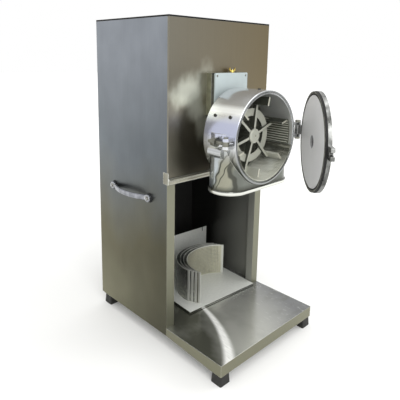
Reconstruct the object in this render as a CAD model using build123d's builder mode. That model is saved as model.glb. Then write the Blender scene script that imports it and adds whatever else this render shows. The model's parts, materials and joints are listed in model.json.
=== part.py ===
"""Commercial flour mill: a steel cabinet with a beater mill on its front.

Millimetres. X runs to the right, Y to the back and Z up. The origin is on the floor, under
the middle of the whole machine as it stands with its door ajar.
"""

import os
from math import acos, asin, cos, degrees, radians, sin

from build123d import *

os.makedirs("parts", exist_ok=True)

# Fits
fit_gap = 0.3
running_gap = 0.05

# Cabinet
cabinet_width = 470.0
cabinet_depth = 388.0
cabinet_height = 1000.0
bay_height = 490.0
sheet_gauge = 1.5
flange_width = 33.0
flange_return = 30.0
rear_lap = 20.0
top_fold = 22.0
side_drop = 27.0
corner_clip = 11.0
panel_proud = 5.5
trim_height = 21.0
trim_gauge = 3.0
trim_bead = 5.5
trim_tab_depth = 17.0
trim_tab_height = 38.0
floor_gauge = 2.0
bay_liner_gauge = 1.5

# Louvres and cable gland in the back panel
louvre_length = 120.0
louvre_depth = 8.0
louvre_pitch = 26.0
louvre_rows = 6
louvre_spread = 180.0
louvre_rise = 60.0
gland_hex = 15.0
gland_thread = 10.0
gland_bore = 5.0
gland_length = 24.0
gland_collar = 8.0
gland_rise = 40.0
gland_offset = 190.0

# Base
base_reach = 249.0
base_flange = 38.0
base_gauge = 2.0
bracket_leg = 30.0
bracket_gauge = 4.0
foot_height = 33.0
foot_sole = 42.0
foot_crown = 38.0
foot_corner = 5.0
rear_foot_inset = 8.0
rear_foot_setback = 3.0
foot_bolt = 5.0
foot_bolt_head = 9.0
foot_bolt_head_height = 6.0
foot_recess = 12.0
foot_recess_depth = 15.0

# Handles
handle_height = 428.0
handle_setback = 186.0
handle_span = 200.0
handle_standoff = 30.0
handle_bar_height = 18.0
handle_bar_depth = 9.0
handle_boss = 13.0
handle_boss_depth = 13.0
handle_boss_edge = 2.5
handle_screw_seat = 8.0
handle_screw_seat_depth = 4.0

# Mill housing
mill_height = 639.0
drum_setback = 68.0
drum_length = 130.0
drum_radius = 147.0
drum_bore = 135.0
drum_back_wall = 8.0
ring_thickness = 13.0
ring_edge = 4.0
rebate_radius = 140.0
rebate_depth = 3.0
skirt_length = 308.0
skirt_width = 120.0
skirt_wall = 5.0
skirt_height = 474.0
skirt_rise = 21.0
skirt_setback = 8.0
rim_height = 12.0
rim_proud = 4.0
screen_edge_drop = 37.0
screen_ledge = 6.0
screen_ledge_width = 8.0
post_radius = 16.0
post_spread = 62.0
post_rise = 40.0
lower_post_spread = 62.0
lower_post_drop = 62.0
latch_boss = 19.0
latch_boss_length = 54.0
latch_boss_drop = 34.0
latch_boss_spread = 146.0

# Ribbed liners
liner_thickness = 3.5
liner_rib = 3.0
liner_rib_width = 4.0
liner_ribs = 10
liner_top_angle = 20.0
liner_low_angle = -15.0
liner_screw_head = 5.0
liner_screw_head_height = 3.0
liner_screw_angle = 151.5
liner_screw_pitch = 61.0

# Rotor
rotor_angle = 17.0
rotor_arms = 6
hub_radius = 23.0
hub_length = 56.0
hub_setback = 47.0
hub_cap = 6.0
hub_cap_edge = 2.5
arm_thickness = 8.0
arm_reach = 118.0
arm_rear_depth = 76.0
arm_hub_setback = 1.0
arm_tip_depth = 15.0
spider_ring_inner = 62.0
spider_ring_outer = 86.0
spider_ring_depth = 9.0
blade_inner = 98.0
blade_tip = 126.0
blade_thickness = 6.0
blade_front_gap = 13.0
blade_length = 68.0
rotor_bolt = 5.0
rotor_bolt_length = 22.0
rotor_bolt_socket = 5.0
rotor_bolt_socket_depth = 3.5

# Shaft, bearings and motor
shaft_radius = 15.0
bearing_outer = 31.0
bearing_width = 16.0
bearing_inset = 6.0
bearing_race = 4.5
bearing_shield_depth = 1.0
neck_radius = 40.0
neck_flange = 54.0
neck_flange_depth = 8.0
neck_tail = 14.0
seal_outer = 24.0
seal_depth = 7.0
mount_plate = 8.0
mount_plate_top = 30.0
mill_bolt = 5.0
mill_bolt_head = 9.0
mill_bolt_head_height = 7.0
mill_bolt_grip = 20.0
motor_setback = 46.0
motor_radius = 88.0
motor_shield = 16.0
motor_length = 190.0
motor_fins = 20
motor_fin_height = 6.0
motor_fin_width = 4.0
motor_foot_width = 120.0
motor_foot_margin = 30.0
motor_drop = 100.0
motor_pad = 98.0
motor_bore_gap = 1.0
shield_slope = 30.0
shelf_gauge = 3.0
shelf_width = 230.0
shelf_lip = 20.0
fan_radius = 70.0
fan_hub = 24.0
fan_depth = 22.0
fan_blade = 3.0
fan_blades = 7
fan_gap = 8.0
fan_cover_depth = 52.0
fan_cover_gauge = 1.5
fan_slots = 16
fan_slot_width = 6.0
fan_slot_inner = 28.0
fan_slot_outer = 76.0
terminal_box_length = 80.0
terminal_box_height = 56.0
terminal_box_depth = 36.0
terminal_box_corner = 4.0
capacitor_radius = 22.0
capacitor_length = 90.0
capacitor_clip = 30.0

# Door, hinge and latch
door_open = 45.5
door_radius = 151.0
door_thickness = 11.0
door_gasket_thickness = 7.0
door_gasket_inner = 139.5
door_gasket_outer = 149.5
door_plate_radius = 138.5
door_plate_sunk = 0.2
door_plate_gauge = 2.0
door_recess = 20.0
door_recess_depth = 6.0
door_rib = 8.0
door_rib_height = 5.0
door_ribs = 8
door_boss = 38.0
door_rim = 14.0
closing_gap = 0.4
hinge_spread = 172.0
hinge_inset = 6.0
hinge_rise = 10.0
hinge_pin = 5.0
hinge_pin_head = 9.0
hinge_pin_head_height = 7.0
knuckle_radius = 10.0
knuckle_height = 30.0
ear_thickness = 9.0
ear_gap = 0.4
latch_spread = 170.0
latch_setback = 182.0
latch_pin = 4.0
latch_pin_head = 7.0
latch_pin_head_height = 4.0
latch_eye = 10.0
latch_eye_height = 13.0
latch_ear = 11.0
swing_bolt = 5.0
swing_bolt_length = 68.0
latch_nut = 12.0
latch_nut_length = 20.0
latch_nut_collar = 14.0
latch_nut_collar_depth = 4.0
fork_height = 36.0
fork_past = 10.0
fork_slot_gap = 1.0
fork_corner = 4.0

# Feed
feed_box_width = 154.0
feed_headroom = 16.0
feed_box_rise = 58.0
feed_box_depth = 22.5
feed_box_wall = 3.0
feed_gasket = 12.0
feed_gasket_width = 10.0
feed_cover = 5.0
feed_cover_corner = 4.0
feed_throat_width = 70.0
feed_throat_rise = 7.0
feed_throat_height = 32.0
feed_throat_wall = 5.0
feed_window_width = 106.0
feed_window_rise = 48.0
feed_window_height = 33.0
gate_gauge = 3.0
gate_lap = 5.0
gate_travel = 30.0
gate_guide = 5.0
gate_guide_gauge = 2.0
gate_lug = 16.0
gate_lug_height = 8.0
stud_radius = 4.0
stud_offset = 27.0
stud_inset = 15.0
stud_past = 3.0
wing_nut_hub = 7.0
wing_nut_height = 9.0
wing_nut_span = 28.0
wing_nut_rise = 16.0
wing_nut_gauge = 3.5

# Hopper and lid
hopper_gauge = 1.2
hopper_spout_width = 120.0
hopper_spout_depth = 50.0
hopper_spout_drop = 70.0
hopper_clearance = 4.0
lid_edge_height = 5.0
lid_edge_width = 8.0
lid_gauge = 1.2
lid_rise = 2.0
lid_hinge_length = 60.0
lid_hinge_spread = 130.0
lid_hinge_barrel = 4.0
lid_hinge_pin = 2.0
lid_hinge_leaf = 26.0
lid_hinge_gauge = 1.2
lid_hinge_strap = 40.0

# Tray and screens
tray_yaw = -3.2
tray_left = 112.0
tray_inset = 5.0
tray_width = 320.0
tray_depth = 282.0
tray_rise = 10.0
tray_gauge = 1.5
tray_runner = 14.0
tray_runner_inset = 18.0
tray_upright = 160.0
tray_slit = 4.0
tray_slit_depth = 18.0
tray_slit_inset = 22.0
screen_play = 1.0
screen_gauge = 1.2
screen_end_bar = 10.0
screen_end_gauge = 2.4
screen_turn = 24.7
screen_nest = 14.0
screen_count = 4
screen_centre_across = 192.0
screen_centre_back = 45.0

# Levels and planes worked out from the sizes
half_width = cabinet_width / 2
base_top = foot_height + base_flange
panel_bottom = base_top + bay_height
cabinet_top = base_top + cabinet_height
wall_top = cabinet_top - lid_edge_height
side_bottom = base_top - side_drop
mill_z = base_top + mill_height
hinge_z = mill_z + hinge_rise
drum_front_setback = drum_setback + drum_length
hinge_setback = drum_front_setback - hinge_inset
door_inner = hinge_inset + closing_gap + door_gasket_thickness
door_outer = door_inner + door_thickness
fork_reach = hinge_spread + latch_spread + fork_past
front_reach = (
    hinge_setback + fork_reach * sin(radians(door_open)) + door_outer * cos(radians(door_open))
)
back_reach = cabinet_depth + gland_length
front = (front_reach - back_reach) / 2
back = front + cabinet_depth
panel_face = front - panel_proud
drum_back = front - drum_setback
drum_front = front - drum_front_setback
hinge_y = front - hinge_setback
latch_y = front - latch_setback
plate_back = panel_face + sheet_gauge + mount_plate


def upright(y):
    """Plane across the machine at depth y, seen from the front."""
    return Plane.XZ.offset(-y)


def folded_face(points, gauge):
    """Section of a folded sheet whose thickness lies to the left of the line."""
    with BuildLine() as section:
        bend = Polyline(*points)
        offset(bend, amount=gauge, side=Side.LEFT, kind=Kind.INTERSECTION)
    make_face(section.edges())


def finish(builder, name):
    """Label a finished piece and write it."""
    builder.part.label = name
    export_step(builder.part, f"parts/{name}.step")


def mirrored(builder, name):
    """Write the same piece for the other side of the machine."""
    with BuildPart() as twin:
        add(builder.part)
        mirror(about=Plane.YZ, mode=Mode.REPLACE)
    finish(twin, name)


# Base plate: the front part is as wide as the cabinet, the tail lies between the side panels.
base_tail = cabinet_depth - sheet_gauge
with BuildPart() as base_plate:
    with BuildSketch(Plane.XY.offset(base_top)) as base_plan:
        with Locations((0, front - base_reach / 2)):
            Rectangle(cabinet_width, base_reach)
        with Locations((0, front + base_tail / 2)):
            Rectangle(cabinet_width - 2 * sheet_gauge, base_tail)
    extrude(amount=-base_flange)
    with BuildSketch(Plane.XY.offset(base_top - base_gauge)):
        add(base_plan.sketch_local)
        offset(amount=-base_gauge, kind=Kind.INTERSECTION)
    extrude(amount=-base_flange, mode=Mode.SUBTRACT)
    # The side edges taper towards the cabinet, where the side panels cover them.
    with BuildSketch(Plane.YZ):
        Polygon(
            (front - base_reach + foot_sole, foot_height),
            (front, side_bottom),
            (back, side_bottom),
            (back, foot_height),
            align=None,
        )
    extrude(amount=cabinet_width, both=True, mode=Mode.SUBTRACT)
finish(base_plate, "base_plate")

# Feet: the front pair is flush with the base corners, the rear pair stands further in.
front_foot_x = half_width - foot_sole / 2
rear_foot_x = half_width - rear_foot_inset - foot_sole / 2
front_foot_y = front - base_reach + foot_sole / 2
rear_foot_y = back - rear_foot_setback - foot_sole / 2
foot_spots = [
    (-front_foot_x, front_foot_y),
    (front_foot_x, front_foot_y),
    (-rear_foot_x, rear_foot_y),
    (rear_foot_x, rear_foot_y),
]

# Brackets: a folded piece over each foot hangs from the plate and takes the foot bolt.
bracket_under = base_top - base_gauge - bracket_gauge
with BuildPart() as foot_brackets:
    for foot_x, foot_y in ((front_foot_x, front_foot_y), (rear_foot_x, rear_foot_y)):
        bracket_web = foot_x - foot_crown / 2
        with BuildSketch(upright(foot_y + foot_crown / 2)):
            folded_face(
                [
                    (bracket_web - bracket_leg, bracket_under),
                    (bracket_web, bracket_under),
                    (bracket_web, foot_height),
                    (bracket_web + foot_crown, foot_height),
                ],
                bracket_gauge,
            )
            mirror(about=Plane.YZ)
        extrude(amount=foot_crown)
    with Locations(*[(x, y, foot_height + bracket_gauge) for x, y in foot_spots]):
        Hole(foot_bolt + fit_gap, depth=bracket_gauge)
finish(foot_brackets, "foot_brackets")

with BuildPart() as rubber_feet:
    for foot_x, foot_y in foot_spots:
        with BuildSketch(Plane((foot_x, foot_y, 0))):
            RectangleRounded(foot_sole, foot_sole, foot_corner)
        with BuildSketch(Plane((foot_x, foot_y, foot_height))):
            RectangleRounded(foot_crown, foot_crown, foot_corner)
        loft()
    with Locations(*[(x, y, 0) for x, y in foot_spots]):
        Cylinder(
            foot_recess,
            foot_recess_depth,
            align=(Align.CENTER, Align.CENTER, Align.MIN),
            mode=Mode.SUBTRACT,
        )
        Cylinder(
            foot_bolt + fit_gap,
            foot_height,
            align=(Align.CENTER, Align.CENTER, Align.MIN),
            mode=Mode.SUBTRACT,
        )
finish(rubber_feet, "rubber_feet")

foot_bolt_low = foot_recess_depth - foot_bolt_head_height
foot_nut_low = foot_height + bracket_gauge
with BuildPart() as foot_bolts:
    for foot_x, foot_y in foot_spots:
        with BuildSketch(Plane((foot_x, foot_y, foot_bolt_low))):
            RegularPolygon(foot_bolt_head, 6)
        extrude(amount=foot_bolt_head_height)
        with BuildSketch(Plane((foot_x, foot_y, foot_recess_depth))):
            Circle(foot_bolt)
        extrude(amount=foot_nut_low + foot_bolt_head_height - foot_recess_depth)
        with BuildSketch(Plane((foot_x, foot_y, foot_nut_low))):
            RegularPolygon(foot_bolt_head, 6)
        extrude(amount=foot_bolt_head_height)
finish(foot_bolts, "foot_bolts")

# Side panels: wall, front flange with its return, rear lap and top fold in one sheet.
wall_back = back - sheet_gauge
with BuildPart() as left_side_panel:
    with BuildSketch(Plane.XY.offset(base_top)):
        folded_face(
            [
                (-half_width + rear_lap, wall_back),
                (-half_width, wall_back),
                (-half_width, front),
                (-half_width + flange_width, front),
                (-half_width + flange_width, front + flange_return),
            ],
            sheet_gauge,
        )
    extrude(amount=wall_top - base_top)
    with BuildSketch(Plane.XY.offset(wall_top)):
        with Locations((-half_width, front)):
            Rectangle(top_fold, wall_back - front, align=(Align.MIN, Align.MIN))
    extrude(amount=-sheet_gauge)
    with BuildSketch(Plane.YZ.offset(-half_width)):
        Polygon(
            (front, base_top),
            (front, side_bottom),
            (wall_back - corner_clip, side_bottom),
            (wall_back, side_bottom + corner_clip),
            (wall_back, base_top),
            align=None,
        )
    extrude(amount=sheet_gauge)
finish(left_side_panel, "left_side_panel")
mirrored(left_side_panel, "right_side_panel")

# Back panel with pressed louvres that open downwards.
louvre_low = panel_bottom + louvre_rise
louvre_bases = [louvre_low + row * louvre_pitch for row in range(louvre_rows)]
louvre_sides = [-louvre_spread / 2, louvre_spread / 2]
gland_z = panel_bottom + gland_rise


def quarter_round(y, z, radius):
    """Quarter disc that stands on a wall at depth y, flat side down at height z."""
    with BuildLine() as outline:
        Line((y, z), (y + radius, z))
        CenterArc((y, z), radius, 0, 90)
        Line((y, z + radius), (y, z))
    make_face(outline.edges())


with BuildPart() as back_panel:
    with BuildSketch(upright(back)):
        with Locations((0, side_bottom)):
            Rectangle(cabinet_width, wall_top - side_bottom, align=(Align.CENTER, Align.MIN))
    extrude(amount=sheet_gauge)
    with BuildSketch(Plane.XY.offset(wall_top)):
        with Locations((0, back)):
            Rectangle(
                cabinet_width - 2 * (top_fold + fit_gap),
                top_fold,
                align=(Align.CENTER, Align.MAX),
            )
    extrude(amount=-sheet_gauge)
    for louvre_x in louvre_sides:
        with BuildSketch(Plane.YZ.offset(louvre_x - louvre_length / 2)):
            for louvre_z in louvre_bases:
                quarter_round(back, louvre_z, louvre_depth)
        extrude(amount=louvre_length)
        with BuildSketch(Plane.YZ.offset(louvre_x - louvre_length / 2 + sheet_gauge)):
            for louvre_z in louvre_bases:
                quarter_round(back, louvre_z, louvre_depth - sheet_gauge)
                with Locations((back, louvre_z)):
                    Rectangle(
                        sheet_gauge,
                        louvre_depth - sheet_gauge,
                        align=(Align.MAX, Align.MIN),
                    )
        extrude(amount=louvre_length - 2 * sheet_gauge, mode=Mode.SUBTRACT)
    with BuildSketch(upright(back)):
        with Locations((gland_offset, gland_z)):
            Circle(gland_thread + fit_gap)
    extrude(amount=sheet_gauge, mode=Mode.SUBTRACT)
finish(back_panel, "back_panel")

with BuildPart() as cable_gland:
    with BuildSketch(upright(back + gland_length)):
        with Locations((gland_offset, gland_z)):
            Circle(gland_hex - running_gap)
    extrude(amount=gland_length - gland_collar, taper=-8)
    with BuildSketch(upright(back + gland_collar)):
        with Locations((gland_offset, gland_z)):
            RegularPolygon(gland_hex + fit_gap, 6, major_radius=False)
    extrude(amount=gland_collar)
    with BuildSketch(upright(back)):
        with Locations((gland_offset, gland_z)):
            Circle(gland_thread)
    extrude(amount=gland_collar)
    with BuildSketch(upright(back - sheet_gauge)):
        with Locations((gland_offset, gland_z)):
            RegularPolygon(gland_hex, 6)
    extrude(amount=gland_collar - sheet_gauge)
    with BuildSketch(upright(back + gland_length)):
        with Locations((gland_offset, gland_z)):
            Circle(gland_bore)
    extrude(amount=gland_length + gland_collar, mode=Mode.SUBTRACT)
finish(cable_gland, "cable_gland")

# Places where the mill is bolted through the front panel.
post_spots = [
    (-post_spread, mill_z + post_rise),
    (post_spread, mill_z + post_rise),
    (-lower_post_spread, mill_z - lower_post_drop),
    (lower_post_spread, mill_z - lower_post_drop),
]
box_low = mill_z + feed_box_rise
window_low = box_low + feed_window_rise
window_high = window_low + feed_window_height


def mill_openings():
    """Holes that the front panel and the plate behind it share."""
    with Locations((0, mill_z)):
        Circle(neck_radius + fit_gap)
    with Locations(*post_spots):
        Circle(mill_bolt + fit_gap)
    with Locations((0, window_low)):
        Rectangle(
            feed_window_width,
            window_high - window_low,
            align=(Align.CENTER, Align.MIN),
        )


# Upper front panel: a shallow tray set on the side flanges.
with BuildPart() as front_panel:
    with BuildSketch(upright(front)) as panel_outline:
        with Locations((0, panel_bottom)):
            Rectangle(cabinet_width, wall_top - panel_bottom, align=(Align.CENTER, Align.MIN))
    extrude(amount=panel_proud)
    with BuildSketch(upright(front)):
        add(panel_outline.sketch_local)
        offset(amount=-sheet_gauge, kind=Kind.INTERSECTION)
    extrude(amount=panel_proud - sheet_gauge, mode=Mode.SUBTRACT)
    with BuildSketch(Plane.XY.offset(wall_top)):
        with Locations((0, front)):
            Rectangle(
                cabinet_width - 2 * (flange_width + fit_gap),
                top_fold,
                align=(Align.CENTER, Align.MIN),
            )
    extrude(amount=-sheet_gauge)
    with BuildSketch(upright(front)):
        mill_openings()
    extrude(amount=panel_proud, mode=Mode.SUBTRACT)
finish(front_panel, "front_panel")

# Plate behind the front panel that takes the weight of the mill.
plate_high = window_high + mount_plate_top
with BuildPart() as mill_mount_plate:
    with BuildSketch(upright(plate_back)):
        with Locations((0, panel_bottom + floor_gauge)):
            Rectangle(
                cabinet_width - 2 * (flange_width + fit_gap),
                plate_high - panel_bottom - floor_gauge,
                align=(Align.CENTER, Align.MIN),
            )
    extrude(amount=mount_plate)
    with BuildSketch(upright(plate_back)):
        mill_openings()
    extrude(amount=mount_plate, mode=Mode.SUBTRACT)
finish(mill_mount_plate, "mill_mount_plate")

# Trim strip under the front panel: rolled bead above, flat lip below, a tab round each side.
with BuildPart() as front_trim:
    with BuildSketch(Plane.YZ.offset(-half_width)):
        with Locations((panel_face, panel_bottom)):
            Rectangle(trim_gauge, trim_height, align=(Align.MAX, Align.MIN))
        with BuildLine():
            bead_z = panel_bottom + trim_height - trim_bead
            CenterArc((panel_face, bead_z), trim_bead, 90, 180)
            Line((panel_face, bead_z - trim_bead), (panel_face, bead_z + trim_bead))
        make_face()
    extrude(amount=cabinet_width)
    for tab_x in (-half_width - sheet_gauge, half_width):
        with BuildSketch(Plane.YZ.offset(tab_x)):
            with Locations((panel_face - trim_gauge, panel_bottom)):
                Rectangle(
                    panel_proud + trim_gauge + trim_tab_depth,
                    trim_tab_height,
                    align=(Align.MIN, Align.MIN),
                )
        extrude(amount=sheet_gauge)
finish(front_trim, "front_trim")

# Floor of the upper compartment, notched round the returns of the side flanges.
floor_back = back - 2 * sheet_gauge
with BuildPart() as compartment_floor:
    with BuildSketch(Plane.XY.offset(panel_bottom)):
        with Locations((0, front + flange_return)):
            Rectangle(
                cabinet_width - 2 * sheet_gauge,
                floor_back - front - flange_return,
                align=(Align.CENTER, Align.MIN),
            )
        with Locations((0, front)):
            Rectangle(
                cabinet_width - 2 * (flange_width + fit_gap),
                flange_return,
                align=(Align.CENTER, Align.MIN),
            )
    extrude(amount=floor_gauge)
finish(compartment_floor, "compartment_floor")

with BuildPart() as bay_back_sheet:
    with BuildSketch(upright(floor_back)):
        with Locations((0, base_top)):
            Rectangle(
                cabinet_width - 2 * sheet_gauge,
                panel_bottom - base_top,
                align=(Align.CENTER, Align.MIN),
            )
    extrude(amount=bay_liner_gauge)
finish(bay_back_sheet, "bay_back_sheet")

# Bow handle: a flat oval bar bent between two round bosses, each with a seat for a screw.
handle_z = base_top + handle_height
handle_y = front + handle_setback
handle_ends = [handle_y - handle_span / 2, handle_y + handle_span / 2]
bow_radius = (handle_span**2 / 4 + handle_standoff**2) / (2 * handle_standoff)
bow_angle = degrees(asin(handle_span / 2 / bow_radius))
bow_middle = -half_width - handle_standoff
bow_axis = Axis((bow_middle + bow_radius, handle_y, handle_z), (0, 0, 1))
handle_feet = [(end_y, handle_z) for end_y in handle_ends]
with BuildPart() as left_handle:
    with BuildSketch(Plane.YZ.offset(-half_width)):
        with Locations(*handle_feet):
            Circle(handle_boss)
    extrude(amount=-handle_boss_depth)
    fillet(left_handle.faces().sort_by(Axis.X)[0:2].edges(), handle_boss_edge)
    for half_bow in (bow_angle, -bow_angle):
        with BuildSketch(upright(handle_y)):
            with Locations((bow_middle, handle_z)):
                SlotOverall(handle_bar_height, handle_bar_depth, rotation=90)
        revolve(axis=bow_axis, revolution_arc=half_bow)
    split(bisect_by=Plane.YZ.offset(-half_width), keep=Keep.BOTTOM)
    with BuildSketch(Plane.YZ.offset(-half_width - handle_boss_depth)):
        with Locations(*handle_feet):
            Circle(handle_screw_seat)
    extrude(amount=handle_screw_seat_depth, mode=Mode.SUBTRACT)
finish(left_handle, "left_handle")
mirrored(left_handle, "right_handle")

# Mill housing: drum, oval discharge skirt with a beaded rim, and the ears of the hinge.
skirt_bottom = base_top + skirt_height
skirt_top = mill_z + skirt_rise
skirt_y = drum_back - skirt_width / 2 - (drum_length - skirt_setback - skirt_width) / 2
hollow_top = mill_z - screen_edge_drop
throat_low = box_low + feed_throat_rise
throat_high = throat_low + feed_throat_height
cover_face = panel_face - feed_box_depth - feed_gasket - feed_cover
ear_levels = [knuckle_height / 2 + ear_gap, -knuckle_height / 2 - ear_gap - ear_thickness]
latch_levels = [latch_eye_height / 2 + ear_gap, -latch_eye_height / 2 - ear_gap - ear_thickness]
with BuildPart() as mill_housing:
    with BuildSketch(upright(drum_back)):
        with Locations((0, mill_z)):
            Circle(drum_radius)
    extrude(amount=drum_length)
    front_rim = mill_housing.edges().filter_by(GeomType.CIRCLE).sort_by(Axis.Y)[0]
    fillet(front_rim, ring_edge)
    with BuildSketch(Plane.XY.offset(skirt_bottom)) as skirt_plan:
        with Locations((0, skirt_y)):
            SlotOverall(skirt_length, skirt_width)
    extrude(amount=skirt_top - skirt_bottom)
    with BuildSketch(Plane.XY.offset(skirt_bottom)):
        add(skirt_plan.sketch_local)
        offset(amount=rim_proud)
    extrude(amount=rim_height)
    rim_edges = mill_housing.faces().filter_by(Axis.Z).sort_by(Axis.Z)[0].outer_wire().edges()
    fillet(rim_edges, rim_height / 2 - running_gap)
    # Ears of the hinge.
    for ear_z in ear_levels:
        with BuildSketch(Plane.XY.offset(hinge_z + ear_z)):
            with Locations((hinge_spread, hinge_y)):
                Circle(knuckle_radius)
            with Locations((drum_bore, hinge_y + 2 * hinge_inset)):
                Rectangle(
                    knuckle_radius,
                    2 * knuckle_radius,
                    align=(Align.MIN, Align.MIN),
                )
            make_hull()
        extrude(amount=ear_thickness)
    # Inside of the skirt and the drum.
    with BuildSketch(Plane.XY.offset(skirt_bottom)):
        add(skirt_plan.sketch_local)
        offset(amount=-skirt_wall)
    extrude(amount=hollow_top - skirt_bottom, mode=Mode.SUBTRACT)
    with BuildSketch(upright(drum_back)):
        with Locations((0, mill_z)):
            Circle(drum_bore)
    extrude(amount=drum_length, mode=Mode.SUBTRACT)
    with BuildSketch(upright(drum_front + rebate_depth)):
        with Locations((0, mill_z)):
            Circle(rebate_radius)
    extrude(amount=rebate_depth, mode=Mode.SUBTRACT)
    # Ledges that carry the ends of a fitted screen.
    for ledge_y in (drum_back - drum_back_wall, drum_front + ring_thickness + screen_ledge_width):
        with BuildSketch(upright(ledge_y)):
            with Locations((0, mill_z)):
                Circle(drum_bore + screen_ledge)
                Circle(drum_bore, mode=Mode.SUBTRACT)
            with Locations((0, hollow_top)):
                Rectangle(
                    2 * drum_radius,
                    2 * drum_radius,
                    align=(Align.CENTER, Align.MIN),
                    mode=Mode.SUBTRACT,
                )
        extrude(amount=screen_ledge_width)
    with Locations((hinge_spread, hinge_y, hinge_z + knuckle_height)):
        Hole(hinge_pin + running_gap, depth=2 * knuckle_height)
finish(mill_housing, "mill_housing")

# Back wall in the drum's bore, with posts to the cabinet and the throat that the grain falls through.
with BuildPart() as mill_back_wall:
    with BuildSketch(upright(drum_back)):
        with Locations((0, mill_z)):
            Circle(drum_bore - running_gap)
    extrude(amount=drum_back_wall)
    with BuildSketch(upright(panel_face)):
        with Locations(*post_spots):
            Circle(post_radius)
    extrude(amount=drum_setback - panel_proud)
    with BuildSketch(upright(cover_face)):
        with Locations((0, throat_low - feed_throat_wall)):
            Rectangle(
                feed_throat_width + 2 * feed_throat_wall,
                throat_high - throat_low + 2 * feed_throat_wall,
                align=(Align.CENTER, Align.MIN),
            )
    extrude(amount=cover_face - drum_back)
    # Holes for the shaft seal, the grain and the posts' bolts.
    with BuildSketch(upright(drum_back)):
        with Locations((0, mill_z)):
            Circle(seal_outer)
    extrude(amount=drum_back_wall, mode=Mode.SUBTRACT)
    with BuildSketch(upright(cover_face)):
        with Locations((0, throat_low)):
            Rectangle(feed_throat_width, throat_high - throat_low, align=(Align.CENTER, Align.MIN))
    extrude(amount=cover_face - drum_back + drum_back_wall, mode=Mode.SUBTRACT)
    with BuildSketch(upright(panel_face)):
        with Locations(*post_spots):
            Circle(mill_bolt + fit_gap)
    extrude(amount=mill_bolt_grip + fit_gap, mode=Mode.SUBTRACT)
finish(mill_back_wall, "mill_back_wall")

# Ears of the latch and the boss under them, on the left of the drum and skirt.
with BuildPart() as latch_ears:
    for ear_z in latch_levels:
        with BuildSketch(Plane.XY.offset(mill_z + ear_z)):
            with Locations((-latch_spread, latch_y)):
                Circle(latch_ear)
            with Locations((-drum_bore, latch_y)):
                Rectangle(latch_ear, 2 * latch_ear, align=(Align.MAX, Align.CENTER))
            make_hull()
        extrude(amount=ear_thickness)
    with BuildSketch(upright(skirt_y + latch_boss_length / 2)):
        with Locations((-latch_boss_spread, mill_z - latch_boss_drop)):
            Circle(latch_boss)
    extrude(amount=latch_boss_length)
    with BuildSketch(upright(drum_back)):
        with Locations((0, mill_z)):
            Circle(drum_radius + running_gap)
    extrude(amount=drum_length, mode=Mode.SUBTRACT)
    with BuildSketch(Plane.XY.offset(skirt_bottom)):
        add(skirt_plan.sketch_local)
        offset(amount=running_gap)
    extrude(amount=skirt_top - skirt_bottom, mode=Mode.SUBTRACT)
    with Locations((-latch_spread, latch_y, mill_z + 2 * latch_eye_height)):
        Hole(latch_pin + running_gap, depth=4 * latch_eye_height)
finish(latch_ears, "latch_ears")

# Ribbed liners on both sides of the drum, between the feed and the screen.
liner_back = drum_back - drum_back_wall - fit_gap
liner_length = drum_length - drum_back_wall - ring_thickness - 2 * fit_gap
liner_outer = drum_bore - running_gap
liner_sweep = liner_top_angle - liner_low_angle
rib_step = liner_sweep / liner_ribs
liner_inner = liner_outer - liner_thickness
with BuildPart() as right_ribbed_liner:
    with BuildSketch(upright(liner_back)):
        with BuildLine(Location((0, mill_z))):
            outer_arc = CenterArc((0, 0), liner_outer, liner_low_angle, liner_sweep)
            inner_arc = CenterArc((0, 0), liner_inner, liner_low_angle, liner_sweep)
            Line(outer_arc @ 0, inner_arc @ 0)
            Line(outer_arc @ 1, inner_arc @ 1)
        make_face()
        with Locations((0, mill_z)):
            with PolarLocations(
                liner_inner,
                liner_ribs,
                start_angle=liner_low_angle + rib_step / 2,
                angular_range=liner_sweep,
                endpoint=False,
            ):
                Trapezoid(
                    liner_rib_width,
                    2 * liner_rib,
                    left_side_angle=80,
                    rotation=90,
                )
    extrude(amount=liner_length)
finish(right_ribbed_liner, "right_ribbed_liner")
mirrored(right_ribbed_liner, "left_ribbed_liner")

# Cap screws on the drum, two on each side and one on top.
screw_ys = [
    skirt_y + liner_screw_pitch / 2,
    skirt_y - liner_screw_pitch / 2,
]
screw_places = [
    (liner_screw_angle, screw_ys[0]),
    (liner_screw_angle, screw_ys[1]),
    (180 - liner_screw_angle, screw_ys[0]),
    (180 - liner_screw_angle, screw_ys[1]),
    (90, screw_ys[1]),
]


def radial_plane(angle, y, radius):
    """Plane that faces outwards from the mill axis."""
    outward = (cos(radians(angle)), 0, sin(radians(angle)))
    centre = (radius * outward[0], y, mill_z + radius * outward[2])
    return Plane(origin=centre, x_dir=(0, 1, 0), z_dir=outward)


with BuildPart() as liner_screws:
    for screw_angle, screw_y in screw_places:
        with BuildSketch(radial_plane(screw_angle, screw_y, drum_radius)):
            Circle(liner_screw_head)
        extrude(amount=liner_screw_head_height)
finish(liner_screws, "liner_screws")


def ring(outer, inner):
    """Ring about the mill axis, on an upright plane."""
    with Locations((0, mill_z)):
        Circle(outer)
        Circle(inner, mode=Mode.SUBTRACT)


# Bearing housing behind the drum, with its two bearings and the seal in the drum's back wall.
neck_end = plate_back + neck_tail
bearing_bore = bearing_outer + running_gap
with BuildPart() as bearing_housing:
    with BuildSketch(upright(neck_end)):
        ring(neck_radius, bearing_bore)
    extrude(amount=neck_end - drum_back)
    with BuildSketch(upright(drum_back + neck_flange_depth)):
        ring(neck_flange, bearing_bore)
    extrude(amount=neck_flange_depth)
finish(bearing_housing, "bearing_housing")

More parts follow.
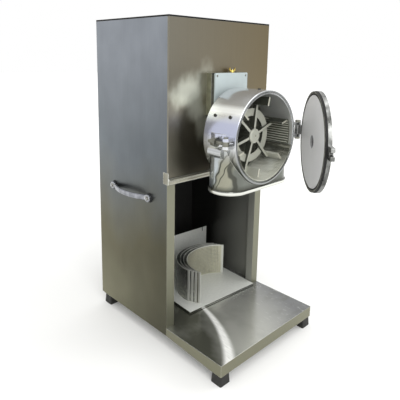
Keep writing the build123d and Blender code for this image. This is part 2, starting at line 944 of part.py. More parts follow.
race_outer = bearing_outer - bearing_race
race_inner = shaft_radius + bearing_race
with BuildPart() as mill_bearings:
    for bearing_back in (drum_back + bearing_inset + bearing_width, neck_end - bearing_inset):
        with BuildSketch(upright(bearing_back)):
            ring(bearing_outer, shaft_radius + running_gap)
        extrude(amount=bearing_width)
        for shield_back in (bearing_back, bearing_back - bearing_width + bearing_shield_depth):
            with BuildSketch(upright(shield_back)):
                ring(race_outer, race_inner)
            extrude(amount=bearing_shield_depth, mode=Mode.SUBTRACT)
finish(mill_bearings, "mill_bearings")

with BuildPart() as shaft_seal:
    with BuildSketch(upright(drum_back)):
        ring(seal_outer - running_gap, shaft_radius + running_gap)
    extrude(amount=seal_depth)
finish(shaft_seal, "shaft_seal")

with BuildPart() as mill_bolts:
    with BuildSketch(upright(plate_back + mill_bolt_head_height)):
        with Locations(*post_spots):
            RegularPolygon(mill_bolt_head, 6)
    extrude(amount=mill_bolt_head_height)
    with BuildSketch(upright(plate_back)):
        with Locations(*post_spots):
            Circle(mill_bolt)
    extrude(amount=plate_back - panel_face + mill_bolt_grip)
finish(mill_bolts, "mill_bolts")

# Rotor: hub with six ribbed arms joined by a ring, a beater blade bolted to each arm.
hub_front = drum_front + hub_setback
hub_back = hub_front + hub_length
shaft_front = hub_front + hub_cap
arm_back = drum_front + arm_rear_depth
arm_angles = [rotor_angle + step * 360 / rotor_arms for step in range(rotor_arms)]


def arm_plane(angle):
    """Plane through the mill axis along an arm: local x outwards, local y to the back."""
    outward = (cos(radians(angle)), 0, sin(radians(angle)))
    return Plane(
        origin=(0, 0, mill_z),
        x_dir=outward,
        z_dir=(-outward[2], 0, outward[0]),
    )


with BuildPart() as rotor_spider:
    with BuildSketch(upright(hub_back)):
        with Locations((0, mill_z)):
            Circle(hub_radius)
    extrude(amount=hub_back - shaft_front)
    with BuildSketch(upright(arm_back)):
        ring(spider_ring_outer, spider_ring_inner)
    extrude(amount=spider_ring_depth)
    for arm_angle in arm_angles:
        with BuildSketch(arm_plane(arm_angle)):
            Polygon(
                (shaft_radius, arm_back),
                (shaft_radius, shaft_front + arm_hub_setback),
                (hub_radius, shaft_front + arm_hub_setback),
                (blade_inner, arm_back - arm_tip_depth),
                (arm_reach, arm_back - arm_tip_depth),
                (arm_reach, arm_back),
                align=None,
            )
        extrude(amount=arm_thickness / 2, both=True)
    with BuildSketch(upright(hub_back)):
        with Locations((0, mill_z)):
            Circle(shaft_radius + running_gap)
    extrude(amount=hub_back - shaft_front, mode=Mode.SUBTRACT)
finish(rotor_spider, "rotor_spider")

blade_front = drum_front + blade_front_gap
with BuildPart() as beater_blades:
    for arm_angle in arm_angles:
        with BuildSketch(arm_plane(arm_angle).offset(arm_thickness / 2)):
            with Locations((blade_inner, blade_front)):
                Rectangle(
                    blade_tip - blade_inner,
                    blade_length,
                    align=(Align.MIN, Align.MIN),
                )
        extrude(amount=blade_thickness)
finish(beater_blades, "beater_blades")

# Cap bolt that closes the hub, with a hexagon socket.
with BuildPart() as rotor_bolt_piece:
    with BuildSketch(upright(shaft_front)):
        with Locations((0, mill_z)):
            Circle(hub_radius)
    extrude(amount=hub_cap)
    cap_rim = rotor_bolt_piece.edges().filter_by(GeomType.CIRCLE).sort_by(Axis.Y)[0]
    chamfer(cap_rim, hub_cap_edge)
    with BuildSketch(upright(hub_front + rotor_bolt_socket_depth)):
        with Locations((0, mill_z)):
            RegularPolygon(rotor_bolt_socket, 6)
    extrude(amount=rotor_bolt_socket_depth, mode=Mode.SUBTRACT)
    with BuildSketch(upright(shaft_front + rotor_bolt_length)):
        with Locations((0, mill_z)):
            Circle(rotor_bolt)
    extrude(amount=rotor_bolt_length)
finish(rotor_bolt_piece, "rotor_bolt")

# Motor, in line with the mill: its long shaft carries the rotor in front and the fan behind.
motor_front = front + motor_setback
body_front = motor_front + motor_shield
body_back = body_front + motor_length
body_middle = (body_front + body_back) / 2
rear_shield_back = body_back + motor_shield
fan_front = rear_shield_back + fan_gap
fan_back = fan_front + fan_depth
cover_back = rear_shield_back + fan_cover_depth
shelf_top = mill_z - motor_drop
fin_root = motor_radius - motor_fin_height
with BuildPart() as shaft:
    with BuildSketch(upright(fan_back)):
        with Locations((0, mill_z)):
            Circle(shaft_radius)
    extrude(amount=fan_back - shaft_front)
    with BuildSketch(upright(shaft_front + rotor_bolt_length + fit_gap)):
        with Locations((0, mill_z)):
            Circle(rotor_bolt + running_gap)
    extrude(amount=rotor_bolt_length + fit_gap, mode=Mode.SUBTRACT)
finish(shaft, "shaft")

with BuildPart() as motor_fan:
    with BuildSketch(upright(fan_back)):
        ring(fan_hub, shaft_radius + running_gap)
    extrude(amount=fan_depth)
    with BuildSketch(upright(fan_front + fan_blade)):
        ring(fan_radius, fan_hub - fan_blade)
    extrude(amount=fan_blade)
    with BuildSketch(upright(fan_back)):
        with Locations((0, mill_z)):
            with PolarLocations((fan_hub + fan_radius) / 2, fan_blades):
                Rectangle(fan_radius - fan_hub + fan_blade, fan_blade)
    extrude(amount=fan_depth)
finish(motor_fan, "motor_fan")

with BuildPart() as motor_shelf:
    shelf_side = shelf_width / 2
    shelf_low = panel_bottom + floor_gauge
    shelf_under = shelf_top - shelf_gauge
    with BuildSketch(upright(body_back)):
        folded_face(
            [
                (-shelf_side - shelf_lip, shelf_low),
                (-shelf_side, shelf_low),
                (-shelf_side, shelf_under),
                (shelf_side, shelf_under),
                (shelf_side, shelf_low),
                (shelf_side + shelf_lip, shelf_low),
            ],
            shelf_gauge,
        )
    extrude(amount=motor_length)
finish(motor_shelf, "motor_shelf")

with BuildPart() as motor_body:
    with BuildSketch(upright(body_back)):
        with Locations((0, mill_z)):
            Circle(fin_root)
            with PolarLocations(fin_root, motor_fins):
                Rectangle(2 * motor_fin_height, motor_fin_width)
    extrude(amount=motor_length)
    with BuildSketch(upright(body_back - motor_foot_margin)):
        with Locations((0, shelf_top)):
            Rectangle(motor_foot_width, motor_drop, align=(Align.CENTER, Align.MIN))
    extrude(amount=motor_length - 2 * motor_foot_margin)
    with BuildSketch(upright(body_middle + terminal_box_length / 2)):
        with Locations((0, mill_z)):
            Rectangle(2 * motor_pad, terminal_box_height)
    extrude(amount=terminal_box_length)
    with BuildSketch(upright(body_back)):
        with Locations((0, mill_z)):
            Circle(shaft_radius + motor_bore_gap)
    extrude(amount=motor_length, mode=Mode.SUBTRACT)
finish(motor_body, "motor_body")

with BuildPart() as motor_front_shield:
    with BuildSketch(upright(body_front)):
        with Locations((0, mill_z)):
            Circle(motor_radius)
    extrude(amount=motor_shield, taper=shield_slope)
    with BuildSketch(upright(body_front)):
        with Locations((0, mill_z)):
            Circle(shaft_radius + running_gap)
    extrude(amount=motor_shield, mode=Mode.SUBTRACT)
finish(motor_front_shield, "motor_front_shield")

cover_bore = motor_radius - fan_cover_gauge
with BuildPart() as motor_rear_shield:
    with BuildSketch(upright(rear_shield_back)):
        ring(cover_bore - running_gap, shaft_radius + running_gap)
    extrude(amount=motor_shield)
finish(motor_rear_shield, "motor_rear_shield")

with BuildPart() as motor_fan_cover:
    with BuildSketch(upright(cover_back)):
        with Locations((0, mill_z)):
            Circle(motor_radius)
    extrude(amount=cover_back - body_back)
    with BuildSketch(upright(cover_back - fan_cover_gauge)):
        with Locations((0, mill_z)):
            Circle(cover_bore)
    extrude(amount=cover_back - fan_cover_gauge - body_back, mode=Mode.SUBTRACT)
    with BuildSketch(upright(cover_back)):
        with Locations((0, mill_z)):
            with PolarLocations((fan_slot_inner + fan_slot_outer) / 2, fan_slots):
                SlotOverall(fan_slot_outer - fan_slot_inner, fan_slot_width)
    extrude(amount=fan_cover_gauge, mode=Mode.SUBTRACT)
finish(motor_fan_cover, "motor_fan_cover")

with BuildPart() as motor_terminal_box:
    with BuildSketch(Plane.YZ.offset(-motor_pad)):
        with Locations((body_middle, mill_z)):
            RectangleRounded(terminal_box_length, terminal_box_height, terminal_box_corner)
    extrude(amount=-terminal_box_depth)
    outer_face = motor_terminal_box.faces().sort_by(Axis.X)[0]
    fillet(outer_face.edges(), terminal_box_corner / 2)
finish(motor_terminal_box, "motor_terminal_box")

with BuildPart() as motor_capacitor:
    with BuildSketch(upright(body_middle + capacitor_length / 2)):
        with Locations((motor_pad + capacitor_radius, mill_z)):
            Circle(capacitor_radius)
    extrude(amount=capacitor_length)
    with BuildSketch(upright(body_middle + capacitor_clip / 2)):
        with Locations((motor_pad, mill_z)):
            Rectangle(
                capacitor_radius,
                2 * capacitor_radius,
                align=(Align.MIN, Align.CENTER),
            )
    extrude(amount=capacitor_clip)
finish(motor_capacitor, "motor_capacitor")

# Feed box on the front panel, closed by a gasket and a cover that meets the housing's throat.
gate_low = window_low - gate_lap
gate_high = window_high + gate_lap
box_high = gate_high + gate_travel + feed_headroom + feed_box_wall
box_front = panel_face - feed_box_depth
gasket_front = box_front - feed_gasket
box_inside = feed_box_width / 2 - feed_box_wall
gate_half = feed_window_width / 2 + gate_lap
gate_back = panel_face - fit_gap
gate_front = gate_back - gate_gauge
guide_back = gate_front - fit_gap
guide_front = guide_back - gate_guide_gauge
stud_y = panel_face - stud_inset


def box_frame(wall):
    """Upright frame with the outline of the feed box."""
    with Locations((0, (box_low + box_high) / 2)):
        Rectangle(feed_box_width, box_high - box_low)
        Rectangle(feed_box_width - 2 * wall, box_high - box_low - 2 * wall, mode=Mode.SUBTRACT)


with BuildPart() as feed_box:
    with BuildSketch(upright(panel_face)):
        box_frame(feed_box_wall)
    extrude(amount=feed_box_depth)
    with BuildSketch(Plane.XY.offset(box_low)):
        Polygon(
            (box_inside, panel_face),
            (gate_half + fit_gap, panel_face),
            (gate_half + fit_gap, guide_back),
            (gate_half - gate_guide, guide_back),
            (gate_half - gate_guide, guide_front),
            (box_inside, guide_front),
            align=None,
        )
        mirror(about=Plane.YZ)
    extrude(amount=box_high - box_low)
    with Locations((stud_offset, stud_y, box_high)):
        Hole(stud_radius + fit_gap, depth=feed_box_wall)
finish(feed_box, "feed_box")

with BuildPart() as feed_box_gasket:
    with BuildSketch(upright(box_front)):
        box_frame(feed_gasket_width)
    extrude(amount=feed_gasket)
finish(feed_box_gasket, "feed_box_gasket")

with BuildPart() as feed_box_cover:
    with BuildSketch(upright(gasket_front)):
        with Locations((0, (box_low + box_high) / 2)):
            RectangleRounded(feed_box_width, box_high - box_low, feed_cover_corner)
        with Locations((0, throat_low)):
            Rectangle(
                feed_throat_width,
                throat_high - throat_low,
                align=(Align.CENTER, Align.MIN),
                mode=Mode.SUBTRACT,
            )
    extrude(amount=feed_cover)
finish(feed_box_cover, "feed_box_cover")

with BuildPart() as feed_gate:
    with BuildSketch(upright(gate_back)):
        with Locations((0, gate_low)):
            Rectangle(2 * gate_half, gate_high - gate_low, align=(Align.CENTER, Align.MIN))
    extrude(amount=gate_gauge)
    with BuildSketch(Plane.XY.offset(gate_high - gate_lug_height)):
        with Locations((stud_offset, stud_y)):
            Circle(gate_lug / 2)
            Rectangle(gate_lug, gate_back - stud_y, align=(Align.CENTER, Align.MIN))
    extrude(amount=gate_lug_height)
    with BuildSketch(Plane.XY.offset(gate_high)):
        with Locations((stud_offset, stud_y)):
            Circle(stud_radius)
    extrude(amount=box_high + wing_nut_height + stud_past - gate_high)
finish(feed_gate, "feed_gate")

with BuildPart() as wing_nut:
    with BuildSketch(Plane.XY.offset(box_high + running_gap)):
        with Locations((stud_offset, stud_y)):
            Circle(wing_nut_hub)
    extrude(amount=wing_nut_height, taper=8)
    with BuildSketch(upright(stud_y)):
        wing_low = box_high + wing_nut_height / 4
        wing_high = box_high + wing_nut_rise
        wing_tip = wing_nut_span / 2
        with BuildLine(Location((stud_offset, 0))):
            Polyline((stud_radius, wing_low), (wing_nut_hub, wing_low))
            ThreePointArc(
                (wing_nut_hub, wing_low),
                (wing_tip, (wing_low + wing_high) / 2),
                (wing_tip - wing_nut_gauge, wing_high),
            )
            ThreePointArc(
                (wing_tip - wing_nut_gauge, wing_high),
                (wing_nut_hub + wing_nut_gauge, wing_low + wing_nut_height),
                (stud_radius, wing_low + wing_nut_height / 2),
            )
            Line((stud_radius, wing_low + wing_nut_height / 2), (stud_radius, wing_low))
        make_face()
        mirror(about=Plane.YZ.offset(stud_offset))
    extrude(amount=wing_nut_gauge / 2, both=True)
    with Locations((stud_offset, stud_y, box_high + 2 * wing_nut_rise)):
        Hole(stud_radius + running_gap, depth=2 * wing_nut_rise)
finish(wing_nut, "wing_nut")

# Hopper: a funnel hung in the top folds, with a spout against the feed window.
mouth_width = cabinet_width - 2 * (top_fold + fit_gap)
mouth_front = front + flange_return + hopper_clearance
mouth_back = back - top_fold - fit_gap
spout_top = window_high + hopper_spout_drop
spout_heel = spout_top - hopper_spout_depth / 2
lid_middle = (panel_face + back) / 2
lid_depth = back - panel_face


def lid_outline(inset):
    """Outline of the top of the cabinet, drawn in by an inset."""
    with Locations((0, lid_middle)):
        Rectangle(cabinet_width - 2 * inset, lid_depth - 2 * inset)


def mouth_outline(inset):
    """Mouth of the funnel, drawn in by an inset."""
    with Locations((0, (mouth_front + mouth_back) / 2)):
        Rectangle(mouth_width - 2 * inset, mouth_back - mouth_front - 2 * inset)


def spout_outline(inset):
    """Top of the spout, drawn in by an inset."""
    with Locations((0, plate_back + hopper_spout_depth / 2)):
        Rectangle(hopper_spout_width - 2 * inset, hopper_spout_depth - 2 * inset)


with BuildPart() as hopper:
    with BuildSketch(Plane.XY.offset(wall_top + hopper_gauge)):
        lid_outline(lid_edge_width + fit_gap)
    extrude(amount=-hopper_gauge)
    with BuildSketch(Plane.XY.offset(wall_top)):
        mouth_outline(0)
    with BuildSketch(Plane.XY.offset(spout_top)):
        spout_outline(0)
    loft(ruled=True)
    with BuildSketch(Plane.YZ.offset(-hopper_spout_width / 2)):
        Polygon(
            (plate_back, window_low),
            (plate_back, spout_top),
            (plate_back + hopper_spout_depth, spout_top),
            (plate_back + hopper_spout_depth, spout_heel),
            align=None,
        )
    extrude(amount=hopper_spout_width)
    with BuildSketch(Plane.XY.offset(wall_top + hopper_gauge)):
        mouth_outline(hopper_gauge)
    extrude(amount=-hopper_gauge, mode=Mode.SUBTRACT)
    with BuildSketch(Plane.XY.offset(wall_top)):
        mouth_outline(hopper_gauge)
    with BuildSketch(Plane.XY.offset(spout_top)):
        spout_outline(hopper_gauge)
    loft(ruled=True, mode=Mode.SUBTRACT)
    with BuildSketch(Plane.YZ.offset(-hopper_spout_width / 2 + hopper_gauge)):
        Polygon(
            (plate_back + hopper_gauge, window_low + 2 * hopper_gauge),
            (plate_back + hopper_gauge, spout_top),
            (plate_back + hopper_spout_depth - hopper_gauge, spout_top),
            (plate_back + hopper_spout_depth - hopper_gauge, spout_heel + hopper_gauge),
            align=None,
        )
    extrude(amount=hopper_spout_width - 2 * hopper_gauge, mode=Mode.SUBTRACT)
    with BuildSketch(upright(plate_back + hopper_gauge)):
        with Locations((0, window_low + 2 * hopper_gauge)):
            Rectangle(
                feed_window_width,
                window_high - window_low - 2 * hopper_gauge,
                align=(Align.CENTER, Align.MIN),
            )
    extrude(amount=hopper_gauge, mode=Mode.SUBTRACT)
finish(hopper, "hopper")

# Hopper lid: a flat sheet in a dark channel that follows the top of the cabinet.
lid_sheet_low = wall_top + lid_rise
lid_sheet_high = lid_sheet_low + lid_gauge
strap_high = lid_sheet_high + lid_hinge_gauge
lid_axis_y = back + lid_hinge_barrel + 2 * fit_gap
lid_axis_z = strap_high - lid_hinge_barrel
hinge_sides = [-lid_hinge_spread, lid_hinge_spread]
knuckle_third = lid_hinge_length / 3


with BuildPart() as hopper_lid:
    with BuildSketch(Plane.XY.offset(lid_sheet_low)):
        lid_outline(lid_edge_width / 2)
    extrude(amount=lid_gauge)
finish(hopper_lid, "hopper_lid")

with BuildPart() as lid_edging:
    with BuildSketch(Plane.XY.offset(wall_top)):
        lid_outline(0)
    extrude(amount=lid_edge_height)
    with BuildSketch(Plane.XY.offset(wall_top)):
        lid_outline(lid_edge_width)
    extrude(amount=lid_edge_height, mode=Mode.SUBTRACT)
    with BuildSketch(Plane.XY.offset(lid_sheet_low)):
        lid_outline(lid_edge_width / 2)
    extrude(amount=lid_gauge, mode=Mode.SUBTRACT)
    with BuildSketch(Plane.XY.offset(lid_sheet_low)):
        with Locations(*[(side_x, back) for side_x in hinge_sides]):
            Rectangle(
                lid_hinge_length + 2 * fit_gap,
                lid_edge_width,
                align=(Align.CENTER, Align.MAX),
            )
    extrude(amount=lid_edge_height, mode=Mode.SUBTRACT)
finish(lid_edging, "lid_edging")

with BuildPart() as lid_hinge_straps:
    for side_x in hinge_sides:
        with BuildSketch(Plane.XY.offset(lid_sheet_high)):
            with Locations((side_x, lid_axis_y)):
                Rectangle(
                    lid_hinge_length,
                    lid_hinge_strap,
                    align=(Align.CENTER, Align.MAX),
                )
        extrude(amount=lid_hinge_gauge)
        with BuildSketch(Plane.YZ.offset(side_x - lid_hinge_length / 2)):
            with Locations((lid_axis_y, lid_axis_z)):
                Circle(lid_hinge_barrel)
        extrude(amount=lid_hinge_length)
        with BuildSketch(Plane.YZ.offset(side_x - knuckle_third / 2 - fit_gap)):
            with Locations((lid_axis_y, lid_axis_z)):
                Rectangle(2 * lid_hinge_barrel + 4 * fit_gap, 4 * lid_hinge_barrel)
        extrude(amount=knuckle_third + 2 * fit_gap, mode=Mode.SUBTRACT)
        with BuildSketch(Plane.YZ.offset(side_x - lid_hinge_length / 2)):
            with Locations((lid_axis_y, lid_axis_z)):
                Circle(lid_hinge_pin + running_gap)
        extrude(amount=lid_hinge_length, mode=Mode.SUBTRACT)
finish(lid_hinge_straps, "lid_hinge_straps")

with BuildPart() as lid_hinge_leaves:
    for side_x in hinge_sides:
        with BuildSketch(upright(back + lid_hinge_gauge)):
            with Locations((side_x, wall_top - lid_hinge_barrel)):
                Rectangle(
                    lid_hinge_length,
                    lid_hinge_leaf,
                    align=(Align.CENTER, Align.MAX),
                )
            with Locations((side_x, lid_axis_z)):
                Rectangle(
                    knuckle_third,
                    2 * lid_hinge_barrel,
                    align=(Align.CENTER, Align.MAX),
                )
        extrude(amount=lid_hinge_gauge)
        with BuildSketch(Plane.YZ.offset(side_x - knuckle_third / 2)):
            with Locations((lid_axis_y, lid_axis_z)):
                Circle(lid_hinge_barrel)
        extrude(amount=knuckle_third)
        with BuildSketch(Plane.YZ.offset(side_x - knuckle_third / 2)):
            with Locations((lid_axis_y, lid_axis_z)):
                Circle(lid_hinge_pin + running_gap)
        extrude(amount=knuckle_third, mode=Mode.SUBTRACT)
finish(lid_hinge_leaves, "lid_hinge_leaves")

with BuildPart() as lid_hinge_pins:
    for side_x in hinge_sides:
        with BuildSketch(Plane.YZ.offset(side_x - lid_hinge_length / 2)):
            with Locations((lid_axis_y, lid_axis_z)):
                Circle(lid_hinge_pin)
        extrude(amount=lid_hinge_length)
finish(lid_hinge_pins, "lid_hinge_pins")

# Door, standing ajar: local x runs along the door from the hinge, local z into the drum.
swing = radians(door_open)
door_plane = Plane(
    origin=(hinge_spread, hinge_y, mill_z),
    x_dir=(-cos(swing), -sin(swing), 0),
    z_dir=(-sin(swing), cos(swing), 0),
)
knuckle_plane = Plane(
    origin=(hinge_spread, hinge_y, hinge_z - knuckle_height / 2),
    x_dir=(-cos(swing), -sin(swing), 0),
    z_dir=(0, 0, 1),
)
fork_pivot = hinge_spread + latch_spread
fork_slot = 2 * (swing_bolt + fork_slot_gap)
gasket_edge = hinge_spread - door_gasket_outer
plate_depth = door_gasket_thickness - door_plate_sunk
with BuildPart() as door_casting:
    with BuildSketch(door_plane.offset(-door_outer)):
        with Locations((hinge_spread, 0)):
            Circle(door_radius)
    extrude(amount=door_thickness)
    # The outer face is hollowed between a boss, a rim and radial ribs.
    with BuildSketch(door_plane.offset(-door_outer)):
        with Locations((hinge_spread, 0)):
            Circle(door_radius - door_rim)
            Circle(door_boss, mode=Mode.SUBTRACT)
            with PolarLocations((door_radius + door_recess) / 2, door_ribs):
                Rectangle(door_radius - door_recess, door_rib, mode=Mode.SUBTRACT)
    extrude(amount=door_rib_height, mode=Mode.SUBTRACT)
    # Fork for the swing bolt.
    with BuildSketch(door_plane.offset(-door_outer)):
        with Locations((fork_reach, 0)):
            Rectangle(
                fork_reach - hinge_spread - door_radius + door_rim,
                fork_height,
                align=(Align.MAX, Align.CENTER),
            )
        fillet(vertices().group_by(Axis.X)[-1], fork_corner)
    extrude(amount=door_thickness)
    with BuildSketch(door_plane.offset(-door_outer)):
        with Locations((fork_pivot, 0)):
            Circle(fork_slot / 2)
            Rectangle(fork_past, fork_slot, align=(Align.MIN, Align.CENTER))
    extrude(amount=door_thickness, mode=Mode.SUBTRACT)
    # Hinge knuckle and the web that carries it.
    with BuildSketch(knuckle_plane):
        Circle(knuckle_radius)
        Polygon(
            (-knuckle_radius / 2, hinge_pin),
            (knuckle_radius, hinge_inset),
            (gasket_edge - closing_gap, door_inner),
            (4 * knuckle_radius, door_inner),
            (4 * knuckle_radius, door_outer),
            (knuckle_radius / 2, door_outer),
            align=None,
        )
    extrude(amount=knuckle_height)
    with BuildSketch(knuckle_plane):
        Circle(hinge_pin + running_gap)
    extrude(amount=knuckle_height, mode=Mode.SUBTRACT)
    with BuildSketch(door_plane.offset(-door_inner)):
        with Locations((hinge_spread, 0)):
            Circle(door_recess)
    extrude(amount=-door_recess_depth, mode=Mode.SUBTRACT)
finish(door_casting, "door_casting")

with BuildPart() as door_gasket:
    with BuildSketch(door_plane.offset(-door_inner)):
        with Locations((hinge_spread, 0)):
            Circle(door_gasket_outer)
            Circle(door_gasket_inner, mode=Mode.SUBTRACT)
    extrude(amount=door_gasket_thickness)
finish(door_gasket, "door_gasket")

with BuildPart() as door_plate:
    with BuildSketch(door_plane.offset(-door_inner)):
        with Locations((hinge_spread, 0)):
            Circle(door_plate_radius)
    extrude(amount=plate_depth)
    with BuildSketch(door_plane.offset(-door_inner)):
        with Locations((hinge_spread, 0)):
            Circle(door_plate_radius - door_plate_gauge)
            Circle(door_recess + door_plate_gauge, mode=Mode.SUBTRACT)
    extrude(amount=plate_depth - door_plate_gauge, mode=Mode.SUBTRACT)
    with BuildSketch(door_plane.offset(-door_inner)):
        with Locations((hinge_spread, 0)):
            Circle(door_recess)
    extrude(amount=plate_depth, mode=Mode.SUBTRACT)
finish(door_plate, "door_plate")

ear_reach = knuckle_height / 2 + ear_gap + ear_thickness
with BuildPart() as door_hinge_bolt:
    with BuildSketch(Plane((hinge_spread, hinge_y, hinge_z - ear_reach - hinge_pin_head_height))):
        RegularPolygon(hinge_pin_head, 6)
    extrude(amount=hinge_pin_head_height)
    with BuildSketch(Plane((hinge_spread, hinge_y, hinge_z - ear_reach))):
        Circle(hinge_pin)
    extrude(amount=2 * ear_reach)
    with BuildSketch(Plane((hinge_spread, hinge_y, hinge_z + ear_reach))):
        RegularPolygon(hinge_pin_head, 6)
    extrude(amount=hinge_pin_head_height)
finish(door_hinge_bolt, "door_hinge_bolt")

# Latch: a swing bolt with a hand nut, turned back along the drum while the door is open.
latch_reach = latch_eye_height / 2 + ear_gap + ear_thickness
with BuildPart() as latch_pin_piece:
    with BuildSketch(Plane((-latch_spread, latch_y, mill_z - latch_reach - latch_pin_head_height))):
        Circle(latch_pin_head)
    extrude(amount=latch_pin_head_height)
    with BuildSketch(Plane((-latch_spread, latch_y, mill_z - latch_reach))):
        Circle(latch_pin)
    extrude(amount=2 * latch_reach)
    with BuildSketch(Plane((-latch_spread, latch_y, mill_z + latch_reach))):
        Circle(latch_pin_head)
    extrude(amount=latch_pin_head_height)
finish(latch_pin_piece, "latch_pin")

with BuildPart() as swing_bolt_piece:
    with BuildSketch(upright(latch_y + swing_bolt_length)):
        with Locations((-latch_spread, mill_z)):
            Circle(swing_bolt)
    extrude(amount=swing_bolt_length)
    with BuildSketch(Plane((-latch_spread, latch_y, mill_z - latch_eye_height / 2))):
        Circle(latch_eye)
    extrude(amount=latch_eye_height)
    with BuildSketch(Plane((-latch_spread, latch_y, mill_z - latch_eye_height / 2))):
        Circle(latch_pin + running_gap)
    extrude(amount=latch_eye_height, mode=Mode.SUBTRACT)
finish(swing_bolt_piece, "swing_bolt")

nut_near = latch_y + hinge_setback + door_outer - latch_setback + 2 * fit_gap
with BuildPart() as latch_nut_piece:
    with BuildSketch(upright(nut_near + latch_nut_collar_depth)):
        with Locations((-latch_spread, mill_z)):
            Circle(latch_nut_collar)
    extrude(amount=latch_nut_collar_depth)
    with BuildSketch(upright(nut_near + latch_nut_length)):
        with Locations((-latch_spread, mill_z)):
            RegularPolygon(latch_nut, 6)
    extrude(amount=latch_nut_length - latch_nut_collar_depth)
    with BuildSketch(upright(nut_near + latch_nut_length)):
        with Locations((-latch_spread, mill_z)):
            Circle(swing_bolt + running_gap)
    extrude(amount=latch_nut_length, mode=Mode.SUBTRACT)
finish(latch_nut_piece, "latch_nut")

# Tray in the bay: a sheet on two runners with an upright back.
yaw = radians(tray_yaw)
tray_origin = (-half_width + tray_left, front + tray_inset, base_top)
tray_plane = Plane(origin=tray_origin, x_dir=(cos(yaw), sin(yaw), 0), z_dir=(0, 0, 1))
with BuildPart() as screen_tray:
    with BuildSketch(tray_plane.offset(tray_rise)):
        Rectangle(tray_width, tray_depth, align=(Align.MIN, Align.MIN))
    extrude(amount=-tray_gauge)
    with BuildSketch(tray_plane):
        for runner_x in (tray_runner_inset, tray_width - tray_runner_inset - tray_runner):
            with Locations((runner_x, tray_runner_inset)):
                Rectangle(
                    tray_runner,
                    tray_depth - 2 * tray_runner_inset,
                    align=(Align.MIN, Align.MIN),
                )
    extrude(amount=tray_rise - tray_gauge)
    with BuildSketch(tray_plane):
        with Locations((0, tray_depth)):
            Rectangle(tray_width, tray_gauge, align=(Align.MIN, Align.MAX))
    extrude(amount=tray_upright)
    with BuildSketch(tray_plane.offset(tray_upright)):
        with Locations((tray_width - tray_slit_inset, tray_depth)):
            Rectangle(tray_slit, tray_gauge, align=(Align.CENTER, Align.MAX))
    extrude(amount=-tray_slit_depth, mode=Mode.SUBTRACT)
finish(screen_tray, "screen_tray")

# Spare screens on the tray: arcs that fit the drum's bore up to the edge of its hollow, one behind another.
screen_radius = drum_bore - screen_play - screen_gauge / 2
screen_height = drum_length - drum_back_wall - screen_play
screen_sweep = 2 * degrees(acos(screen_edge_drop / screen_radius))
screen_apex = screen_turn - tray_yaw + 90
screen_start = screen_apex - screen_sweep / 2
for index in range(screen_count):
    shift = index * screen_nest
    screen_x = screen_centre_across + shift * cos(radians(screen_apex))
    screen_y = screen_centre_back + shift * sin(radians(screen_apex))
    with BuildPart() as screen:
        with BuildSketch(tray_plane.offset(tray_rise)):
            with BuildLine(Location((screen_x, screen_y))):
                outer_arc = CenterArc((0, 0), screen_radius + screen_gauge / 2, screen_start, screen_sweep)
                inner_arc = CenterArc((0, 0), screen_radius - screen_gauge / 2, screen_start, screen_sweep)
                Line(outer_arc @ 0, inner_arc @ 0)
                Line(outer_arc @ 1, inner_arc @ 1)
            make_face()
            for end_angle, side in ((screen_start, Align.MIN), (screen_start + screen_sweep, Align.MAX)):
                with Locations(Location((screen_x, screen_y), end_angle)):
                    with Locations((screen_radius, 0)):
                        Rectangle(screen_end_gauge, screen_end_bar, align=(Align.CENTER, side))
        extrude(amount=screen_height)
    finish(screen, f"screen_{index + 1}")
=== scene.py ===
"""Commercial flour mill: finishes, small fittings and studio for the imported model."""
import json
from math import cos, pi, radians, sin

import bpy
from bpy.props import FloatProperty, FloatVectorProperty, PointerProperty
from bpy.types import Operator, Panel, PropertyGroup
from mathutils import Matrix, Vector


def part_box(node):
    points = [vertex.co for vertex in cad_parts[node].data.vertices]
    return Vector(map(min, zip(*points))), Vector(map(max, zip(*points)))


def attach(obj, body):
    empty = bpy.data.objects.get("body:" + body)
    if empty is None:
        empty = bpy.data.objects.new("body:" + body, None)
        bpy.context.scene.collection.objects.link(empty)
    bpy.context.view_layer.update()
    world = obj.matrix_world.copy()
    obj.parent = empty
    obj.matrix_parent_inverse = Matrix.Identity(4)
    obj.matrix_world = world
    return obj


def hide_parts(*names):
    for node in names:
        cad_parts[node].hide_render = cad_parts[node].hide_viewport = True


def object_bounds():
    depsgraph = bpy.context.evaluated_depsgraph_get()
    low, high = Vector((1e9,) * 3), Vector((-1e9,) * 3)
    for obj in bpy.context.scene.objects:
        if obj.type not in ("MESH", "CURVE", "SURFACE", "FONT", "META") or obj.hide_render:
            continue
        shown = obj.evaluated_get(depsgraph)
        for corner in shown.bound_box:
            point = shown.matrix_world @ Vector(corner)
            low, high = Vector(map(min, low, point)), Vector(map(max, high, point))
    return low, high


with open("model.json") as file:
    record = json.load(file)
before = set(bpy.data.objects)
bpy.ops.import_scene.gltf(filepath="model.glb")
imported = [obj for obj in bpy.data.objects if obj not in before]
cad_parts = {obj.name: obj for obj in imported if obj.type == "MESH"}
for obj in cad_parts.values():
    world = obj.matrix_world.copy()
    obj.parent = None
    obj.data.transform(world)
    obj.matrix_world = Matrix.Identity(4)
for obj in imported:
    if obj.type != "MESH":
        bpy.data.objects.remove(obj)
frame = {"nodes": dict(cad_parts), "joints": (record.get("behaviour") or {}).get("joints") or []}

bl_info = {
    "name": "Flour mill looks",
    "version": (1, 0, 0),
    "blender": (4, 5, 0),
    "location": "View3D > Sidebar > Flour mill",
    "description": "Finishes, small fittings and a studio for the flour mill",
    "category": "Object",
}

CAD_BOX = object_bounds()
MM = 0.001

